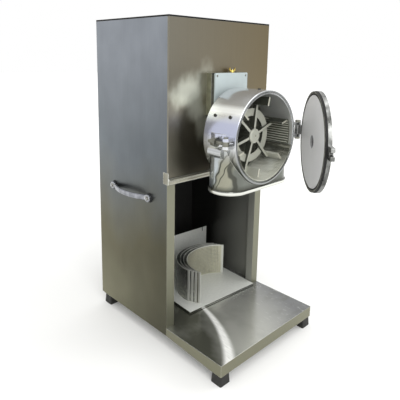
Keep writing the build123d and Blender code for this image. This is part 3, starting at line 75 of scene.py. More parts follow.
# Places read from the frame, in metres.
LEFT_LOW, LEFT_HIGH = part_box("left_side_panel")
CABINET_LEFT = LEFT_LOW.x
CABINET_RIGHT = -CABINET_LEFT
CABINET_FRONT = LEFT_LOW.y
CABINET_BACK = LEFT_HIGH.y
CABINET_TOP = LEFT_HIGH.z
BASE_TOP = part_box("base_plate")[1].z
SKIRT_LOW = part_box("mill_housing")[0].z
# The bead round the skirt stands this far before the drum.
BEAD_REACH = 4 * MM
DRUM_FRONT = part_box("mill_housing")[0].y + BEAD_REACH
SCREEN_LOW, SCREEN_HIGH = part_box("screen_1")
DOOR_LOW, DOOR_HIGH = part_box("door_plate")
DOOR_MIDDLE = (DOOR_LOW + DOOR_HIGH) / 2
JOINTS = {joint["name"]: joint for joint in frame["joints"]}
MILL_AXIS = Vector(JOINTS["rotor_spin"]["pos_m"])
UP = Vector((0.0, 0.0, 1.0))

# Turns that lay a piece modelled along +Z over to another side.
TO_LEFT = Matrix.Rotation(-pi / 2, 4, "Y")
TO_RIGHT = Matrix.Rotation(pi / 2, 4, "Y")
TO_FRONT = Matrix.Rotation(pi / 2, 4, "X")
TO_BACK = Matrix.Rotation(-pi / 2, 4, "X")
# The handles: node, turn towards its side, wall that it stands on, and which way is out.
HANDLES = (("left_handle", TO_LEFT, CABINET_LEFT, -1), ("right_handle", TO_RIGHT, CABINET_RIGHT, 1))


def linear(hex_colour):
    """Linear colour of an sRGB hex value."""
    parts = [int(hex_colour[i:i + 2], 16) / 255 for i in (0, 2, 4)]
    return [c / 12.92 if c <= 0.04045 else ((c + 0.055) / 1.055) ** 2.4 for c in parts] + [1.0]


def colour(name, description, hex_colour):
    """Colour property that a user can change."""
    return FloatVectorProperty(
        name=name, description=description, subtype="COLOR", size=4, min=0.0, max=1.0,
        default=linear(hex_colour),
    )


def length(name, description, millimetres):
    """Length property that a user can change."""
    return FloatProperty(name=name, description=description, unit="LENGTH", default=millimetres * MM)


def angle(name, description, degrees):
    """Angle property that a user can change."""
    return FloatProperty(name=name, description=description, subtype="ANGLE", default=radians(degrees))


def power(name, description, watts):
    """Lamp power that a user can change."""
    return FloatProperty(name=name, description=description, unit="POWER", default=watts)


class MillColours(PropertyGroup):
    """Colours of the mill's materials."""

    # The side tones are painted reflection: a cool field high up and a warm one low.
    side_reflection_high: colour("Side, high", "Side sheets near the top", "8d9299")
    side_reflection_middle: colour("Side, middle", "Side sheets half way up", "70767b")
    side_reflection_low: colour("Side, low", "Side sheets near the base", "6a6753")
    side_reflection_foot: colour("Side, foot", "Side sheets at the base", "7e7c66")
    front_left: colour("Front, left", "Front panel at the left", "7e7a6e")
    front_right: colour("Front, right", "Front panel at the right", "776c54")
    # The buffed patches are painted highlights beside the feed box.
    front_highlight: colour("Front, buffed", "Buffed patches beside the feed box", "c6c8ba")
    # The base tones are painted reflection in pale, dull and right-hand patches; the streak tone is a
    # painted highlight as well as scratches, spilt flour and the handles' white edges.
    base_reflection_dark: colour("Base, dull", "Dull patches of the base sheet", "64655a")
    base_reflection_pale: colour("Base, pale", "Pale patches of the base sheet", "cfd0c7")
    base_reflection_right: colour("Base, right", "Base sheet at its right end", "787979")
    base_highlight_and_flour: colour("Base, streak", "Rubbed streak, scratches and spilt flour", "fbfbf7")
    flange: colour("Base edges", "Turned-down edges of the base", "83826f")
    trim: colour("Trim", "Rolled strip under the front panel", "8f8d80")
    bare: colour("Bare metal", "Metal rubbed bare along edges", "d6d7d0")
    casting: colour("Casting", "Polished cast aluminium", "cfd1d3")
    # The casting tones from here to the flank are painted: the low tone, the drum seat, the skirt bands and
    # the flank are painted reflection, the band is a painted highlight, and the lines are painted
    # reflection and painted shade above the bead.
    casting_dark_reflection: colour("Casting, low", "Duller skirt of the casting", "6a6d67")
    casting_highlight: colour("Casting, band", "Bright band along the top of the flank", "f1f3f1")
    casting_rim_reflection: colour("Drum seat", "Turned seat on the front of the drum", "8f9191")
    casting_sky: colour("Skirt, pale band", "Bluish band at the back of the skirt", "b9c0c4")
    casting_band: colour("Skirt, dark band", "Dull band at the corner of the skirt", "43443e")
    casting_line: colour("Skirt, lines", "Dark lines on the skirt and above its bead", "3d3e37")
    casting_olive: colour("Skirt, olive band", "Olive band of the skirt", "979685")
    casting_blue_reflection: colour("Casting, flank", "Bluish flank of the drum", "a9afd0")
    door_back: colour("Door, back", "Ribbed back of the door casting", "a3a4a3")
    # The dark and bright door tones are painted reflection round the rim.
    door_dark_reflection: colour("Door, dark", "Dark patches round the door's rim", "4c4d4a")
    door_bright_reflection: colour("Door, bright", "Bright patches round the door's rim", "bcbdbb")
    dusty: colour("Inside", "Flour-dusted inside of the casting", "9b9d90")
    # The upper inside tones are painted shade high in the drum, and painted light to its right.
    inside_shade: colour("Inside, high", "Upper inside of the drum", "3c3d36")
    inside_light: colour("Inside, right", "Upper inside of the drum at the right", "8d8e80")
    back_wall: colour("Back wall", "Back wall of the drum", "484a42")
    floor_screen: colour("Fitted screen", "Screen in the bottom of the drum", "e2e3d6")
    # The fitted screen's edge tone makes it darker towards its edges.
    screen_edge: colour("Fitted screen, edge", "Oily edges of the fitted screen", "53544a")
    flour: colour("Flour", "Flour film", "c9c8b8")
    # The rotor sides tone is painted shade on faces that do not look to the front.
    rotor: colour("Rotor", "Cast rotor with a flour film", "c4c6bb")
    rotor_shaded_side: colour("Rotor sides", "Sides of the arms, caked with meal", "484a41")
    liner_crest: colour("Liner crests", "Ribs of the cast iron liner", "dcddd0")
    liner_groove: colour("Liner grooves", "Grooves between the ribs", "66685c")
    # The blade faces tone is painted light on the lower blades, lit from above.
    blade_lit_face: colour("Blade faces", "Faces of the lower blades, white with flour", "c9cabf")
    door_plate: colour("Door plate", "Satin inner plate of the door", "cecece")
    feed_box: colour("Feed box", "Sides of the feed box", "83836f")
    feed_gasket: colour("Feed gasket", "Dusty rubber under the feed cover", "3f4038")
    cover: colour("Feed cover", "Pale cover of the feed box", "b0bbbc")
    stile: colour("Front folds", "Front folds of the side sheets", "80806f")
    # The bay wall tone is painted light at the bay's mouth.
    bay_wall: colour("Bay walls", "Side walls of the bay at its mouth", "90918a")
    # The recess tone is painted shade in the door's recess.
    recess: colour("Door recess", "Recess in the door plate", "4c4c4a")
    # The bay tone is the dark paint of the bay's back sheet, and also painted shade deep in the bay and the
    # painted shadow line along the tray.
    bay: colour("Bay back", "Dark painted sheet", "1f1f1d")
    rubber: colour("Rubber", "Black rubber", "141413")
    foot: colour("Feet", "Scuffed rubber of the feet", "1c1c18")
    brass: colour("Brass", "Wing nut", "cfb866")
    tray: colour("Tray", "Zinc-coated tray sheet", "d9dbd5")
    screen: colour("Screens", "Perforated steel sheet", "bbb9a4")
    # The spare screens' tone is painted shade, a darker copy for the screens that stand behind the first.
    screen_in_shade: colour("Spare screens", "Screens that stand behind the first", "8b8e87")
    zinc: colour("Zinc", "Plated brackets and hardware", "9a9c9b")
    bolt: colour("Bolts", "Turned steel", "7e7e75")
    black_screw: colour("Black screws", "Blackened screws of the liners", "33332f")
    chrome: colour("Handles", "Bright handles", "8f9197")
    enamel: colour("Motor", "Motor enamel", "5b646b")
    plastic: colour("Plastic", "Black plastic", "1d1d1d")


class MillSizes(PropertyGroup):
    """Sizes of the small fittings and of the perforated screens."""

    screen_radius: length("Screen radius", "Middle of the sheet from the arc's centre", 133.4)
    screen_gauge: length("Screen gauge", "Thickness of the perforated sheet", 1.2)
    screen_bar: length("Screen end", "Thickness of the stiffened ends", 2.4)
    screen_sweep: angle("Screen sweep", "Angle that a screen goes round", 147.8)
    screen_apex: angle("Screen apex", "Direction that a screen bulges in", 114.7)
    screen_pitch: length("Hole pitch", "Distance between holes", 6.0)
    screen_hole: length("Hole radius", "Radius of a hole", 1.9)
    screen_gap: length("Screen gap", "Fitted screen from the drum's back wall", 0.4)
    liner_crest: length("Liner crest", "Crest of the liner ribs from the mill's axis", 128.2)
    liner_groove: length("Liner groove", "Groove of the liner from the mill's axis", 131.2)
    door_recess: length("Door recess", "Radius of the recess in the door plate", 20.0)
    seat_inset: length("Gasket seat", "Flour ring on the door's gasket from its outer edge", 3.5)
    cover_screw: length("Cover screw", "Head radius of the feed cover's screws", 3.4)
    panel_screw: length("Panel screw", "Head radius of the back panel's screws", 5.0)
    handle_screw: length("Handle screw", "Head radius of the handles' screws", 6.6)
    handle_boss: length("Handle boss", "Radius of the handles' bosses", 13.0)
    handle_depth: length("Boss depth", "Depth of the handles' bosses", 13.0)
    handle_seat: length("Screw seat", "Depth of the screw seats in the bosses", 4.0)
    washer_rim: length("Washer rim", "How far the washers stand out round the bosses", 3.2)
    washer_gauge: length("Washer gauge", "Thickness of the washers", 3.0)
    washer_round: length("Washer rounding", "Rounding of the washers' edges", 0.8)
    rivet: length("Rivet", "Head radius of the hinge rivets", 3.5)
    hinge_spread: length("Hinge spread", "Hinge middle from the middle of the back", 130.0)
    hinge_rivets: length("Rivet spread", "Rivet from the hinge's middle", 20.0)
    hinge_gauge: length("Hinge gauge", "Thickness of the hinge leaves", 1.2)
    thread_pitch: length("Thread pitch", "Pitch of the bolt threads", 1.5)
    thread_crest: length("Thread crest", "How far a thread stands out of its rod", 0.2)
    swing_rod: length("Swing bolt", "Radius of the swing bolt", 5.0)
    stud_rod: length("Stud", "Radius of the feed gate's stud", 4.0)
    stud_run: length("Stud thread", "Length of the thread on the feed gate's stud", 45.0)


class StudioSettings(PropertyGroup):
    """Camera and light."""

    camera_right: length("Camera across", "Camera from the cabinet's left wall", -849.3)
    camera_back: length("Camera depth", "Camera from the cabinet's front plane", -1016.9)
    camera_up: length("Camera height", "Camera above the base plate", 883.0)
    camera_turn: angle("Turn", "Turn of the view to the right", 44.19)
    camera_tilt: angle("Tilt", "Tilt of the view below level", 10.69)
    camera_roll: angle("Roll", "Roll of the view", 1.06)
    lens: FloatProperty(name="Lens", description="Focal length", unit="CAMERA", default=39.956)
    shift: FloatProperty(name="Shift", description="Upright shift of the lens", default=-0.15)
    floor_colour: colour("Floor", "Pale floor", "e9e9e7")
    key_power: power("Key", "Key light", 34.0)
    fill_power: power("Fill", "Fill light", 24.0)
    top_power: power("Top", "Overhead light", 22.0)


# Settings of nodes that come again and again.
PLUS = {"operation": "ADD"}
MINUS = {"operation": "SUBTRACT"}
TIMES = {"operation": "MULTIPLY"}
UNSIGNED = {"operation": "ABSOLUTE"}
LARGER = {"operation": "MAXIMUM"}
APART = {"operation": "DISTANCE"}
ALONG = {"operation": "DOT_PRODUCT"}
SMOOTH = {"interpolation_type": "SMOOTHSTEP"}


def add(tree, kind, settings=None, output=0, **inputs):
    """Add a shader node with its settings, set or link its inputs by name or number, give an output."""
    made = tree.nodes.new("ShaderNode" + kind)
    for name, value in (settings or {}).items():
        setattr(made, name, value)
    # From and To stand for two inputs each, where a range starts and where it ends.
    for ends in ("From", "To"):
        if ends in inputs:
            inputs[f"{ends}_Min"], inputs[f"{ends}_Max"] = inputs.pop(ends)
    for name, value in inputs.items():
        key = int(name[1:]) if name[1:].isdigit() else name.replace("_", " ")
        if isinstance(value, bpy.types.NodeSocket):
            tree.links.new(value, made.inputs[key])
        else:
            made.inputs[key].default_value = value
    return made.outputs if output is None else made.outputs[output]


def begin(name, metallic, roughness):
    """Start a material: its tree, its shader and the object's own coordinates."""
    material = bpy.data.materials.new(name)
    material.use_nodes = True
    tree = material.node_tree
    tree.nodes.clear()
    surface = add(tree, "BsdfPrincipled", Metallic=metallic, Roughness=roughness)
    output = tree.nodes.new("ShaderNodeOutputMaterial")
    tree.links.new(surface, output.inputs["Surface"])
    place = add(tree, "TexCoord", output="Object")
    return material, tree, surface.node, place


def paint(tree, shader, **sockets):
    """Link sockets to the shader's inputs by name."""
    for name, socket in sockets.items():
        tree.links.new(socket, shader.inputs[name.replace("_", " ")])


def shade(tone, share):
    """A colour made lighter or darker by a share."""
    return [min(1.0, c * share) for c in tone[:3]] + [1.0]


def span(base, start, full):
    """Two places in mm from a base, as metres: where a change starts and where it is full."""
    return base + start * MM, base + full * MM


def stripe(tree, value, middle, full, gone, most=1.0):
    """Share of a stripe about a middle value: the most within one reach, none past the other."""
    off = add(tree, "Math", MINUS, i0=value, i1=middle)
    off = add(tree, "Math", UNSIGNED, i0=off)
    return add(tree, "MapRange", Value=off, From=(gone, full), To=(0.0, most))


def lay(tree, tone, *coats, mode="MIX"):
    """Lay coats over a tone in turn: the most of each, its colour, and what keeps it to a zone.

    A zone is a value with two places, where the coat starts and where it is full.
    """
    settings = {"data_type": "RGBA", "blend_type": mode}
    for share, coat, *zones in coats:
        for value, places in zones:
            share = add(tree, "MapRange", Value=value, From=places, To=(0.0, share))
        tone = add(tree, "Mix", settings, 2, i0=share, i6=tone, i7=coat)
    return tone


def patchy(tree, tone, contrast, cloud):
    """A tone that a cloud makes darker and lighter by a share."""
    return lay(tree, shade(tone, 1 - contrast), (cloud, shade(tone, 1 + contrast)))


# Blender's noise seldom goes past these values.
NOISE_SPREAD = (0.3, 0.7)


def mottle(tree, place, widths, detail=3.0, low=0.0, high=1.0):
    """Noise from a low to a high value, whose features are so many mm across on X, Y and Z."""
    spaced = add(tree, "Mapping", Vector=place, Scale=[1 / (width * MM) for width in widths])
    noise = add(tree, "TexNoise", Vector=spaced, Scale=1.0, Detail=detail)
    return add(tree, "MapRange", Value=noise, From=NOISE_SPREAD, To=(low, high))


# Cosines of the turn from a face to its softened edge: where wear starts and where it is full.
EDGE_TURN = (0.995, 0.9)
RELIEF_DEPTH = 0.05 * MM


def worn_edges(tree, radius, fine, most=1.0):
    """Normal of edges softened by so many mm, with a fine relief, and the share of wear at an edge."""
    soft = add(tree, "Bevel", {"samples": 6}, Radius=radius * MM)
    flat = add(tree, "NewGeometry", output="Normal")
    agree = add(tree, "VectorMath", ALONG, "Value", i0=soft, i1=flat)
    relief = add(tree, "Bump", Strength=0.2, Distance=RELIEF_DEPTH, Height=fine, Normal=soft)
    return relief, add(tree, "MapRange", Value=agree, From=EDGE_TURN, To=(0.0, most))


def from_mill_axis(tree, place):
    """Distance from the mill's axis, which lies along Y."""
    flat = add(tree, "Mapping", Vector=place, Scale=(1.0, 0.0, 1.0))
    return add(tree, "VectorMath", APART, "Value", i0=flat, i1=(MILL_AXIS.x, 0.0, MILL_AXIS.z))


def finish(name, tone, metallic, rough, patch, grit, contrast=0.12, edge=0.5, bare=None):
    """Surface with patches of tone, uneven gloss, fine grit and edges rubbed bare, sizes in mm."""
    material, tree, shader, place = begin(name, metallic, rough)
    cloud = mottle(tree, place, [patch] * 3, detail=2.0)
    fine = mottle(tree, place, [grit] * 3)
    relief, worn = worn_edges(tree, radius=edge, fine=fine)
    tone = patchy(tree, tone, contrast, cloud)
    if bare is not None:
        tone = lay(tree, tone, (worn, bare))
    gloss = add(tree, "MapRange", Value=fine, To=(0.85 * rough, 1.2 * rough))
    paint(tree, shader, Base_Color=tone, Roughness=gloss, Normal=relief)
    return material


# The brush lines are drawn this wide, in mm, because the real 0.1 mm ones would not show.
BRUSH_LINE = 1.5
BRUSH_CONTRAST = 0.03
# How bare the brushed sheets are along their folds.
FOLD_WEAR = 0.35
# Where the painted reflection tones of a side sheet follow one another, as shares of its height, and how
# clouds shift them.
LOW_ZONE = (0.0, 0.2)
MIDDLE_ZONE = (0.22, 0.56)
HIGH_ZONE = (0.6, 0.92)
ZONE_SHIFT = 0.07
# By how much painted shade darkens the sheet towards its front edge, at the top and at the base.
FRONT_SHADE = (0.02, 0.62)


def side_sheet(name, tones, has_bay):
    """Brushed stainless: satin, with painted reflection in its tones, a cool field high up and a warm one
    low, and painted shade towards its front edge.
    """
    material, tree, shader, place = begin(name, metallic=1.0, roughness=0.36)
    across, depth, height = add(tree, "SeparateXYZ", output=None, Vector=place)
    cloud = mottle(tree, place, (220, 220, 420), detail=2.0)
    lines = mottle(tree, place, (BRUSH_LINE, BRUSH_LINE, 240), detail=4.0)
    shift = add(tree, "MapRange", Value=cloud, To=(-ZONE_SHIFT, ZONE_SHIFT))
    rise = add(tree, "MapRange", Value=height, From=(BASE_TOP, CABINET_TOP))
    rise = add(tree, "Math", PLUS, i0=rise, i1=shift)
    # Painted reflection: cool tones high up and warm ones low, shifted by clouds.
    tone = lay(
        tree, tones.side_reflection_foot,
        (1.0, tones.side_reflection_low, (rise, LOW_ZONE)),
        (1.0, tones.side_reflection_middle, (rise, MIDDLE_ZONE)),
        (1.0, tones.side_reflection_high, (rise, HIGH_ZONE)),
    )
    # Painted shade darkens the sheet towards its front edge.
    shade_share = add(tree, "MapRange", Value=height, From=(CABINET_TOP, BASE_TOP), To=FRONT_SHADE)
    shade_share = add(tree, "MapRange", Value=depth, From=(CABINET_BACK, CABINET_FRONT), To=(0.0, shade_share))
    light = add(tree, "Math", MINUS, i0=1.0, i1=shade_share)
    marks = add(tree, "MapRange", Value=lines, To=(1 - BRUSH_CONTRAST, 1 + BRUSH_CONTRAST))
    haze = mottle(tree, place, (90, 90, 130), low=0.93, high=1.09)
    tone = lay(tree, tone, (1.0, light), (1.0, marks), (1.0, haze), mode="MULTIPLY")
    if has_bay:
        tone = bay_film_and_shade(tree, shader, across, depth, tones, tone)
    gloss = add(tree, "MapRange", Value=cloud, To=(0.33, 0.4))
    relief, worn = worn_edges(tree, radius=0.8, fine=lines, most=FOLD_WEAR)
    tone = lay(tree, tone, (worn, tones.bare))
    paint(tree, shader, Base_Color=tone, Roughness=gloss, Normal=relief)
    return material


# The outer face of a side sheet, its fold at the front, and how far painted light reaches into the bay
# before painted shade.
OUTER_FACE = span(CABINET_RIGHT, -1.0, -0.4)
FRONT_FOLD = span(CABINET_FRONT, 0.9, 0.3)
BAY_LIGHT = span(CABINET_FRONT, 240, 0)
# How metallic the film and the fold still look.
FILM_METAL = 0.15
FOLD_METAL = 0.7


def bay_film_and_shade(tree, shader, across, depth, tones, sheet):
    """Flour film on the side sheets inside the bay: no longer a mirror, with painted shade that grows dark
    further back.
    """
    aside = add(tree, "Math", UNSIGNED, i0=across)
    outside = add(tree, "MapRange", Value=aside, From=OUTER_FACE)
    fold = add(tree, "MapRange", Value=depth, From=FRONT_FOLD)
    # Painted light at the bay's mouth, fading into painted shade further back.
    wall = lay(tree, tones.bay, (1.0, tones.bay_wall, (depth, BAY_LIGHT)), (fold, tones.stile))
    metal = add(tree, "MapRange", Value=outside, To=(FILM_METAL, 1.0))
    edge = add(tree, "Math", TIMES, i0=fold, i1=FOLD_METAL)
    metal = add(tree, "Math", LARGER, i0=metal, i1=edge)
    paint(tree, shader, Metallic=metal)
    return lay(tree, wall, (outside, sheet))


# Painted highlights on the front sheet: their middles across and above the mill's axis and their reach,
# in mm, and how bright they are.
FRONT_HIGHLIGHTS = ((-150, 135, 95, 0.95), (-110, 75, 90, 0.8), (-100, 145, 80, 0.45), (-95, 25, 75, 0.7))
FRONT_HIGHLIGHT_SWAY = 35 * MM


def front_sheet(tones):
    """Brushed stainless front: less even in gloss than the sides, with painted highlights in patches by the
    feed box.
    """
    material, tree, shader, place = begin("Brushed stainless front sheet", metallic=1.0, roughness=0.36)
    across = add(tree, "SeparateXYZ", output="X", Vector=place)
    cloud = mottle(tree, place, (70, 70, 110))
    lines = mottle(tree, place, (BRUSH_LINE, BRUSH_LINE, 200), detail=4.0)
    sway = add(tree, "MapRange", Value=cloud, To=(-FRONT_HIGHLIGHT_SWAY, FRONT_HIGHLIGHT_SWAY))
    # Painted highlights: bright, blurred, less metallic patches beside the feed box.
    highlights = 0.0
    for aside, above, reach, bright in FRONT_HIGHLIGHTS:
        middle = (MILL_AXIS.x + aside * MM, CABINET_FRONT, MILL_AXIS.z + above * MM)
        away = add(tree, "VectorMath", APART, "Value", i0=place, i1=middle)
        away = add(tree, "Math", PLUS, i0=away, i1=sway)
        patch = add(tree, "MapRange", SMOOTH, Value=away, From=(0.0, reach * MM), To=(bright, 0.0))
        highlights = add(tree, "Math", LARGER, i0=patch, i1=highlights)
    tone = lay(
        tree, tones.front_left,
        (1.0, tones.front_right, (across, (CABINET_LEFT, CABINET_RIGHT))),
        (highlights, tones.front_highlight),
    )
    marks = add(tree, "MapRange", Value=lines, To=(1 - BRUSH_CONTRAST, 1 + BRUSH_CONTRAST))
    tone = lay(tree, tone, (1.0, marks), mode="MULTIPLY")
    metal = add(tree, "MapRange", Value=highlights, To=(1.0, 0.55))
    gloss = add(tree, "MapRange", Value=cloud, To=(0.3, 0.42))
    relief, worn = worn_edges(tree, radius=0.8, fine=lines, most=FOLD_WEAR)
    tone = lay(tree, tone, (worn, tones.bare))
    paint(tree, shader, Base_Color=tone, Roughness=gloss, Metallic=metal, Normal=relief)
    return material


def beside_tray(tree, place):
    """Distance outwards from the edges of the tray, which stands a little askew."""
    outwards = Vector(JOINTS["tray_slide"]["axis"])
    sideways = outwards.cross(UP)
    corners = [vertex.co for vertex in frame["nodes"]["screen_tray"].data.vertices]
    lip = max(corner.dot(outwards) for corner in corners)
    ends = [corner.dot(sideways) for corner in corners]
    ahead = add(tree, "VectorMath", ALONG, "Value", i0=place, i1=outwards)
    ahead = add(tree, "Math", MINUS, i0=ahead, i1=lip)
    aside = add(tree, "VectorMath", ALONG, "Value", i0=place, i1=sideways)
    aside = add(tree, "Math", MINUS, i0=aside, i1=(min(ends) + max(ends)) / 2)
    aside = add(tree, "Math", UNSIGNED, i0=aside)
    aside = add(tree, "Math", MINUS, i0=aside, i1=(max(ends) - min(ends)) / 2)
    return add(tree, "Math", LARGER, i0=ahead, i1=aside)


# The streak on the base is a painted highlight, an arc from the tray's front edge to the left front corner.
# Half its width grows along its run from the first reach to the second, and it fades between two shares of
# that.
STREAK_MIDDLE = (CABINET_LEFT - 343 * MM, CABINET_FRONT + 130 * MM, BASE_TOP)
STREAK_RADIUS = 535 * MM
STREAK_RUN = span(CABINET_FRONT, 56, -244)
STREAK_REACH = (9 * MM, 27 * MM)
STREAK_FADE = (0.2, 1.0)
# Where painted reflection turns the sheet pale, darker at its right end and smeared, by the distance past
# the streak.
PALE_ZONE = span(0, -60, 40)
RIGHT_ZONE = span(0, 50, 300)
SMEAR_ZONE = span(0, 170, 360)
PATCH_SHIFT = 0.24
# Values of the patterns at which smears, scratches and grains start and are full.
SMEARS = (0.5, 0.9)
SCRATCHES = (0.8, 1.0)
SPILT_GRAINS = (0.78, 0.88)
# Spilt flour and the painted shadow line, by the distance from the tray and from the middle of the base.
SPILT_REACH = span(0, 40, 10)
SPILT_SIDE = span(MILL_AXIS.x, 0, 80)
SHADOW_LINE_MIDDLE = 1 * MM
SHADOW_LINE_FULL = 1 * MM
SHADOW_LINE_GONE = 2 * MM
PLATE_TOP = span(BASE_TOP, -1.4, -0.6)


def base_sheet(tones):
    """Stainless base: painted reflection in pale and dark patches, a painted highlight in a bright streak,
    scratches, olive brushed edges.
    """
    material, tree, shader, place = begin("Rubbed stainless base sheet", metallic=0.7, roughness=0.3)
    across, depth, height = add(tree, "SeparateXYZ", output=None, Vector=place)
    cloud = mottle(tree, place, (90, 120, 90))
    # The scuffs are drawn 4 mm wide, because the real scratches would not show.
    scuffs = mottle(tree, place, (4, 30, 4))
    away = add(tree, "VectorMath", APART, "Value", i0=place, i1=STREAK_MIDDLE)
    away = add(tree, "Math", MINUS, i0=away, i1=STREAK_RADIUS)
    pale = add(tree, "MapRange", Value=away, From=PALE_ZONE)
    patch = add(tree, "MapRange", Value=cloud, To=(-PATCH_SHIFT, PATCH_SHIFT))
    pale = add(tree, "Math", {"operation": "ADD", "use_clamp": True}, i0=pale, i1=patch)
    smears = mottle(tree, place, (70, 30, 30))
    off = add(tree, "Math", UNSIGNED, i0=away)
    reach = add(tree, "MapRange", Value=depth, From=STREAK_RUN, To=STREAK_REACH)
    off = add(tree, "Math", {"operation": "DIVIDE"}, i0=off, i1=reach)
    broken = add(tree, "MapRange", Value=scuffs, To=(0.75, 1.0))
    streak = add(tree, "MapRange", SMOOTH, Value=off, From=STREAK_FADE, To=(broken, 0.0))
    # A little flour is spilt before the tray, and a painted shadow line runs along its edges.
    beside = beside_tray(tree, place)
    grains = mottle(tree, place, (6, 6, 6), detail=2.0)
    # Painted shadow line along the tray's edges, where the tray stands at rest.
    shadow_line = stripe(tree, beside, SHADOW_LINE_MIDDLE, SHADOW_LINE_FULL, SHADOW_LINE_GONE, most=0.95)
    # The coats: painted reflection in the pale, right and smeared patches, scratches, the streak as a
    # painted highlight, spilt flour and a painted shadow line.
    tone = lay(
        tree, tones.base_reflection_dark,
        (pale, tones.base_reflection_pale),
        (1.0, tones.base_reflection_right, (away, RIGHT_ZONE)),
        (0.5, tones.base_reflection_dark, (smears, SMEARS), (away, SMEAR_ZONE)),
        (0.35, tones.base_highlight_and_flour, (scuffs, SCRATCHES), (away, RIGHT_ZONE)),
        (streak, tones.base_highlight_and_flour),
        (1.0, tones.base_highlight_and_flour, (beside, SPILT_REACH), (across, SPILT_SIDE), (grains, SPILT_GRAINS)),
        (shadow_line, tones.bay),
    )
    top = add(tree, "MapRange", Value=height, From=PLATE_TOP)
    relief, worn = worn_edges(tree, radius=1.0, fine=scuffs)
    tone = lay(tree, tones.flange, (top, tone), (worn, tones.bare))
    dull = add(tree, "MapRange", Value=streak, To=(0.4, 0.95))
    dull = add(tree, "Math", TIMES, i0=top, i1=dull)
    metal = add(tree, "Math", MINUS, i0=1.0, i1=dull)
    gloss = add(tree, "MapRange", Value=cloud, To=(0.16, 0.26))
    paint(tree, shader, Base_Color=tone, Roughness=gloss, Metallic=metal, Normal=relief)
    return material


# The painted reflection bands of the skirt lean about this height and sway this far.
LEAN_HEIGHT = SKIRT_LOW + 60 * MM
BAND_SWAY = 8 * MM


def painted_reflections(tree, place, low, tones, tone):
    """Bands of painted reflection round the skirt, leaning with its turned wall."""
    depth, height = add(tree, "SeparateXYZ", output=None, Vector=place)[1:]
    sway = mottle(tree, place, (60, 60, 45), detail=1.0, low=-BAND_SWAY, high=BAND_SWAY)
    depth = add(tree, "Math", PLUS, i0=depth, i1=sway)
    level = add(tree, "Math", MINUS, i0=height, i1=LEAN_HEIGHT)
    # Each band: its middle behind the drum's front and half its width, in mm, lean, tone, share.
    bands = (
        (88, 26, 0.4, tones.casting_sky, 0.85),
        (42, 26, 0.25, tones.casting_olive, 0.85),
        (22, 8, 0.0, tones.casting_band, 0.9),
        (64, 3.2, 0.42, tones.casting_line, 0.95),
        (46, 2.6, 0.5, tones.casting_line, 0.9),
    )
    for behind, half, lean, band_tone, share in bands:
        leant = add(tree, "Math", {"operation": "MULTIPLY_ADD"}, i0=level, i1=lean, i2=depth)
        band = stripe(tree, leant, DRUM_FRONT + behind * MM, half / 2 * MM, half * MM, share)
        band = add(tree, "Math", TIMES, i0=band, i1=low)
        tone = lay(tree, tone, (band, band_tone))
    return tone


# Where painted reflection makes the skirt darker, where painted shade darkens it towards its bead, and the
# bead itself, which gets a painted highlight.
SKIRT_DARK_REFLECTION = span(SKIRT_LOW, 150, 90)
BEAD_SHADE = span(SKIRT_LOW, 30, 13)
BEAD_HIGHLIGHT = span(SKIRT_LOW, 11.5, 10.5)
# The bluish flank, a painted reflection, lies between the latch and the liner screws.
FLANK_SIDE = span(MILL_AXIS.x, -100, -140)
FLANK_FOOT = span(MILL_AXIS.z, -10, 20)
FLANK_HEAD = span(MILL_AXIS.z, 75, 50)
# The bright band above it is a painted highlight.
BAND_SIDE = span(MILL_AXIS.x, -60, -100)
BAND_HEIGHT = MILL_AXIS.z + 88 * MM
BAND_FULL = 5 * MM
BAND_GONE = 17 * MM
# The darker painted reflection on the drum's front rim, and where painted shade darkens the inside upwards
# and painted light pales it to the right.
RIM_REFLECTION = span(DRUM_FRONT, 1.2, 0.6)
INSIDE_SHADE_RISE = span(MILL_AXIS.z, -30, 70)
INSIDE_LIGHT_RIGHT = span(MILL_AXIS.x, 20, 110)
DUST_ROUGH = 0.75


